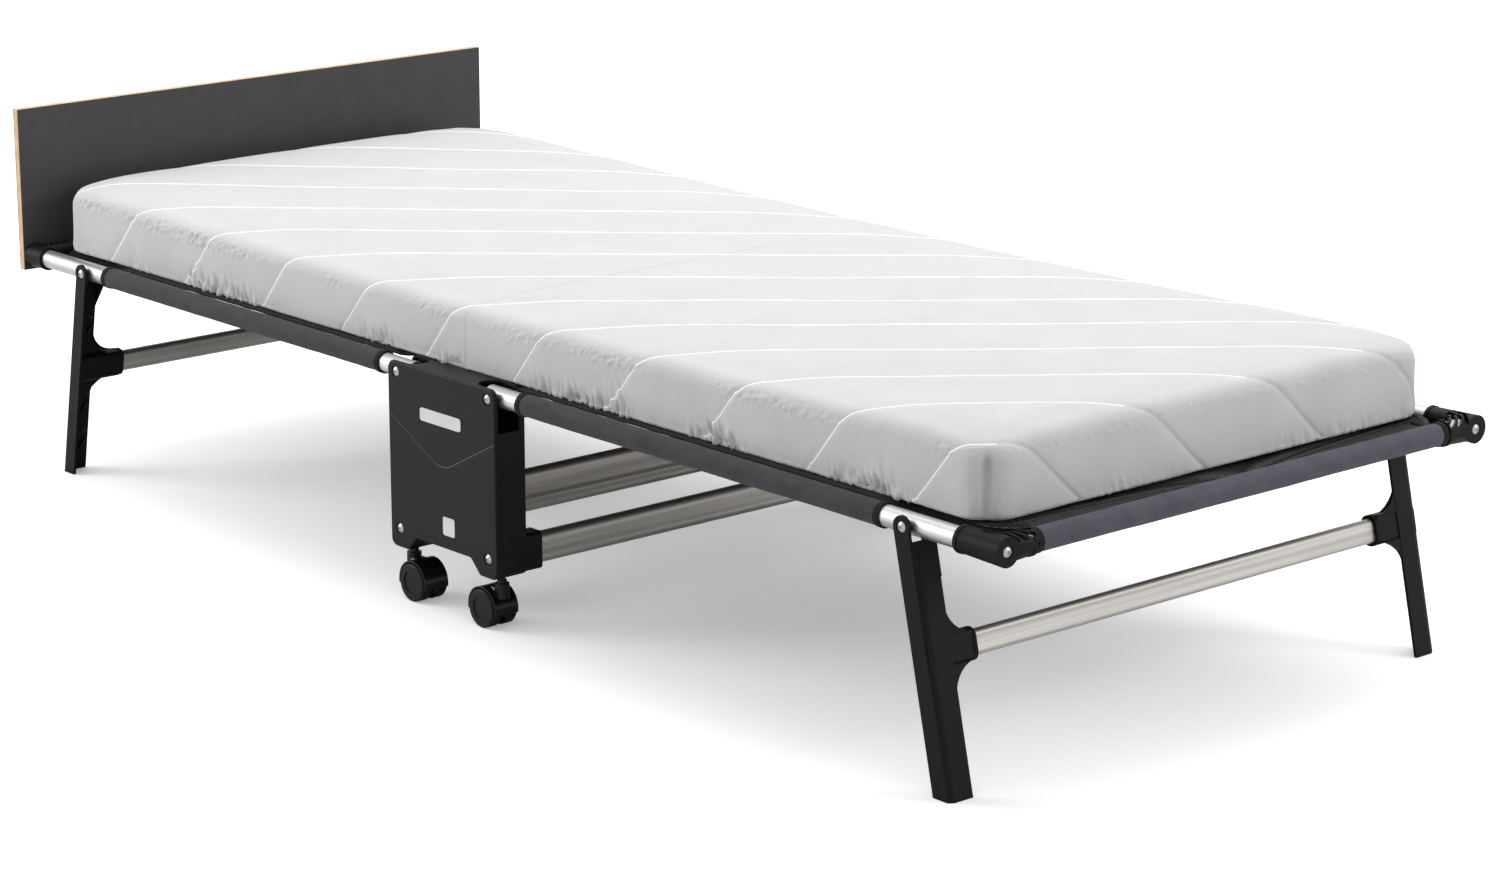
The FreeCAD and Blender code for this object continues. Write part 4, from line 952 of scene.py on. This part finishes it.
def make_tape(name, sign, side, stations):
    """The folded tape that binds one edge of the deck: a soft flat band that rests on the sleeve."""
    path = np.array([(MIDDLE_X + sign * x, side * half_width) for x, half_width, _ in stations])
    tangent = np.gradient(path, axis=0)
    tangent /= np.linalg.norm(tangent, axis=1)[:, None]
    inward = np.stack([tangent[:, 1], -tangent[:, 0]], 1) * sign * side
    profile = tape_profile()
    vertices = []
    for i, (_, _, tilt) in enumerate(stations):
        ripple = TAPE_RIPPLE * noise.noise(Vector((path[i][0] * 40, side, 2)))
        lean = math.radians(tilt)
        for across, up in profile:
            inset = TAPE_WIDTH / 2 + across * math.cos(lean) - up * math.sin(lean)
            rise = (across - TAPE_WIDTH / 2) * math.sin(lean) + up * math.cos(lean)
            x, y = path[i] + inward[i] * inset
            vertices.append((x, y, DECK_Z + TAPE_LIFT + rise + ripple))
    faces = grid_faces(len(path), TAPE_SIDES, wrap=True)
    faces.append(range(TAPE_SIDES))
    faces.append(range(len(vertices) - TAPE_SIDES, len(vertices)))
    tape = mesh_object(name, vertices, faces, FINISHES["binding_fabric"])
    bend_half(tape)


# ---- sleeves ----

SLEEVE_R = 14 * MM
SLEEVE_CELL = 3.5 * MM
SLEEVE_SIDES = 56
SLEEVE_FOLD = 0.35 * MM
SLEEVE_WRINKLE = 0.25 * MM
SEAM_HEIGHT = 0.5 * MM
SEAM_ANGLE = math.radians(215)
SEAM_HALF_ANGLE = 0.16


def sleeve_radius(place, a, seed):
    """The sleeve's radius at a place along it and an angle round it, with soft folds and a sewn seam."""
    fold = noise.noise(Vector((place * 9, math.cos(a) * 1.3, math.sin(a) * 1.3 + seed)))
    wrinkle = noise.noise(Vector((place * 38, math.cos(a) * 2.1, math.sin(a) * 2.1)))
    seam = bell(a - SEAM_ANGLE, SEAM_HALF_ANGLE)
    return SLEEVE_R + SLEEVE_FOLD * fold + SLEEVE_WRINKLE * wrinkle + SEAM_HEIGHT * seam


def make_sleeve(name, node, side, body, slot):
    """A fabric sleeve round a side rail (side is 1 or -1) or round the end tube (side is 0)."""
    low, high = node_box(node)
    along = 0 if side else 1
    start, stop = float(low[along]), float(high[along])
    rings = round((stop - start) / SLEEVE_CELL)
    vertices = []
    for ring in range(rings + 1):
        place = start + (stop - start) * ring / rings
        for k in range(SLEEVE_SIDES):
            a = math.tau * k / SLEEVE_SIDES
            radius = sleeve_radius(place, a, side)
            z = RAIL_Z + radius * math.sin(a)
            if side:
                vertices.append((place, side * (RAIL_Y - radius * math.cos(a)), z))
            else:
                vertices.append((float(low[0] + high[0]) / 2 + radius * math.cos(a), place, z))
    sleeve = mesh_object(name, vertices, grid_faces(rings + 1, SLEEVE_SIDES, wrap=True), FINISHES[slot])
    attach(sleeve, body)
    return sleeve


def make_sleeves(end):
    """The three sleeves of one half."""
    body = end + "_half"
    right = make_sleeve(f"sleeve_{end}_right", end + "_side_sleeves", -1, body, "sleeve_fabric")
    make_sleeve(f"sleeve_{end}_left", end + "_side_sleeves", 1, body, "sleeve_fabric")
    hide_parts(end + "_side_sleeves")
    across = make_sleeve(f"sleeve_{end}_end", end + "_end_sleeve", 0, body, "end_sleeve_fabric")
    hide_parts(end + "_end_sleeve")


# ---- floor, light and camera ----

FLOOR_HALF = 12
# The floor's glow to the camera is painted light that lightens the shadow under the bed.
FLOOR_GLOW = 0.3

# The backdrop's strength as it lights the bed, and as the camera sees it.
BACKDROP_LIGHT = 0.88
BACKDROP_SEEN = 1.05

# Each soft box's name, place, size in metres and power in watts, and the point they all face.
SOFT_BOXES = (
    ("top", (-0.5, 0.9, 3.4), 3.4, 84),
    ("left", (-3.2, -3.0, 1.9), 2.2, 78),
    ("right", (4.0, 2.4, 2.2), 1.2, 46),
)
LIT_POINT = (0, 0, 0.25)

CAMERA_PLACE = (3.9538, -3.3365, 1.5407)
CAMERA_BEARING = math.radians(48.94)
CAMERA_DIP = math.radians(15.0)
CAMERA_LENS = 97.0


def make_floor():
    """A white floor that glows a little to the camera, so that it fades into the backdrop and the shadow under the
    bed is lightened by painted light; to the bed's own lighting it is a darker grey.
    """
    finish = Finish("studio_floor", (0.9, 0.9, 0.905), 0.6)
    seen = finish.node("ShaderNodeLightPath").outputs["Is Camera Ray"]
    pale = finish.ramp(finish.noise(1.5), (0.89, 0.89, 0.895), (0.91, 0.91, 0.915))
    shade = finish.node("ShaderNodeMixRGB", Fac=seen, Color1=(*gray(0.6), 1), Color2=pale)
    finish.color(shade.outputs["Color"])
    finish.shader.inputs["Emission Color"].default_value = (*gray(1), 1)
    # Painted light: the floor glows to the camera only, which lifts the shadow under the bed.
    finish.feed(finish.shader.inputs["Emission Strength"], finish.math("MULTIPLY", seen, FLOOR_GLOW))
    corners = [(x * FLOOR_HALF, y * FLOOR_HALF, 0) for x, y in ((-1, -1), (1, -1), (1, 1), (-1, 1))]
    mesh_object("studio_floor", corners, [(0, 1, 2, 3)], finish.material)


def make_backdrop():
    """A white world that looks brighter to the camera than it lights the bed."""
    world = bpy.data.worlds.new("studio")
    bpy.context.scene.world = world
    world.use_nodes = True
    tree = world.node_tree
    camera_ray = tree.nodes.new("ShaderNodeLightPath").outputs["Is Camera Ray"]
    strength = tree.nodes.new("ShaderNodeMapRange")
    tree.links.new(camera_ray, strength.inputs["Value"])
    strength.inputs["To Min"].default_value = BACKDROP_LIGHT
    strength.inputs["To Max"].default_value = BACKDROP_SEEN
    tree.links.new(strength.outputs["Result"], tree.nodes["Background"].inputs["Strength"])
    tree.nodes["Background"].inputs["Color"].default_value = (*gray(1), 1)


def aim(thing, direction):
    """Turns a light or camera to look along a direction, and adds it to the scene."""
    thing.rotation_mode = "QUATERNION"
    thing.rotation_quaternion = direction.to_track_quat("-Z", "Y")
    bpy.context.scene.collection.objects.link(thing)


def soft_box(name, place, size, power):
    """A square soft light that points at the bed."""
    light = bpy.data.lights.new(name, "AREA")
    light.shape = "SQUARE"
    light.size = size
    light.energy = power
    made = bpy.data.objects.new(name, light)
    made.location = place
    aim(made, Vector(LIT_POINT) - Vector(place))


def make_camera():
    """The camera, which looks down at the bed from beyond its foot end, on its right."""
    data = bpy.data.cameras.new("camera")
    data.sensor_width = 36.0
    data.lens = CAMERA_LENS
    camera = bpy.data.objects.new("camera", data)
    camera.location = CAMERA_PLACE
    level = math.cos(CAMERA_DIP)
    ahead, across = math.cos(CAMERA_BEARING), -math.sin(CAMERA_BEARING)
    aim(camera, Vector((across * level, ahead * level, -math.sin(CAMERA_DIP))))
    bpy.context.scene.camera = camera


dress_frame()
make_mattress()
for end_name in ENDS:
    make_deck(end_name)
    make_sleeves(end_name)
make_floor()
make_backdrop()
for box in SOFT_BOXES:
    soft_box(*box)
make_camera()

bpy.context.scene.view_settings.view_transform = "Standard"
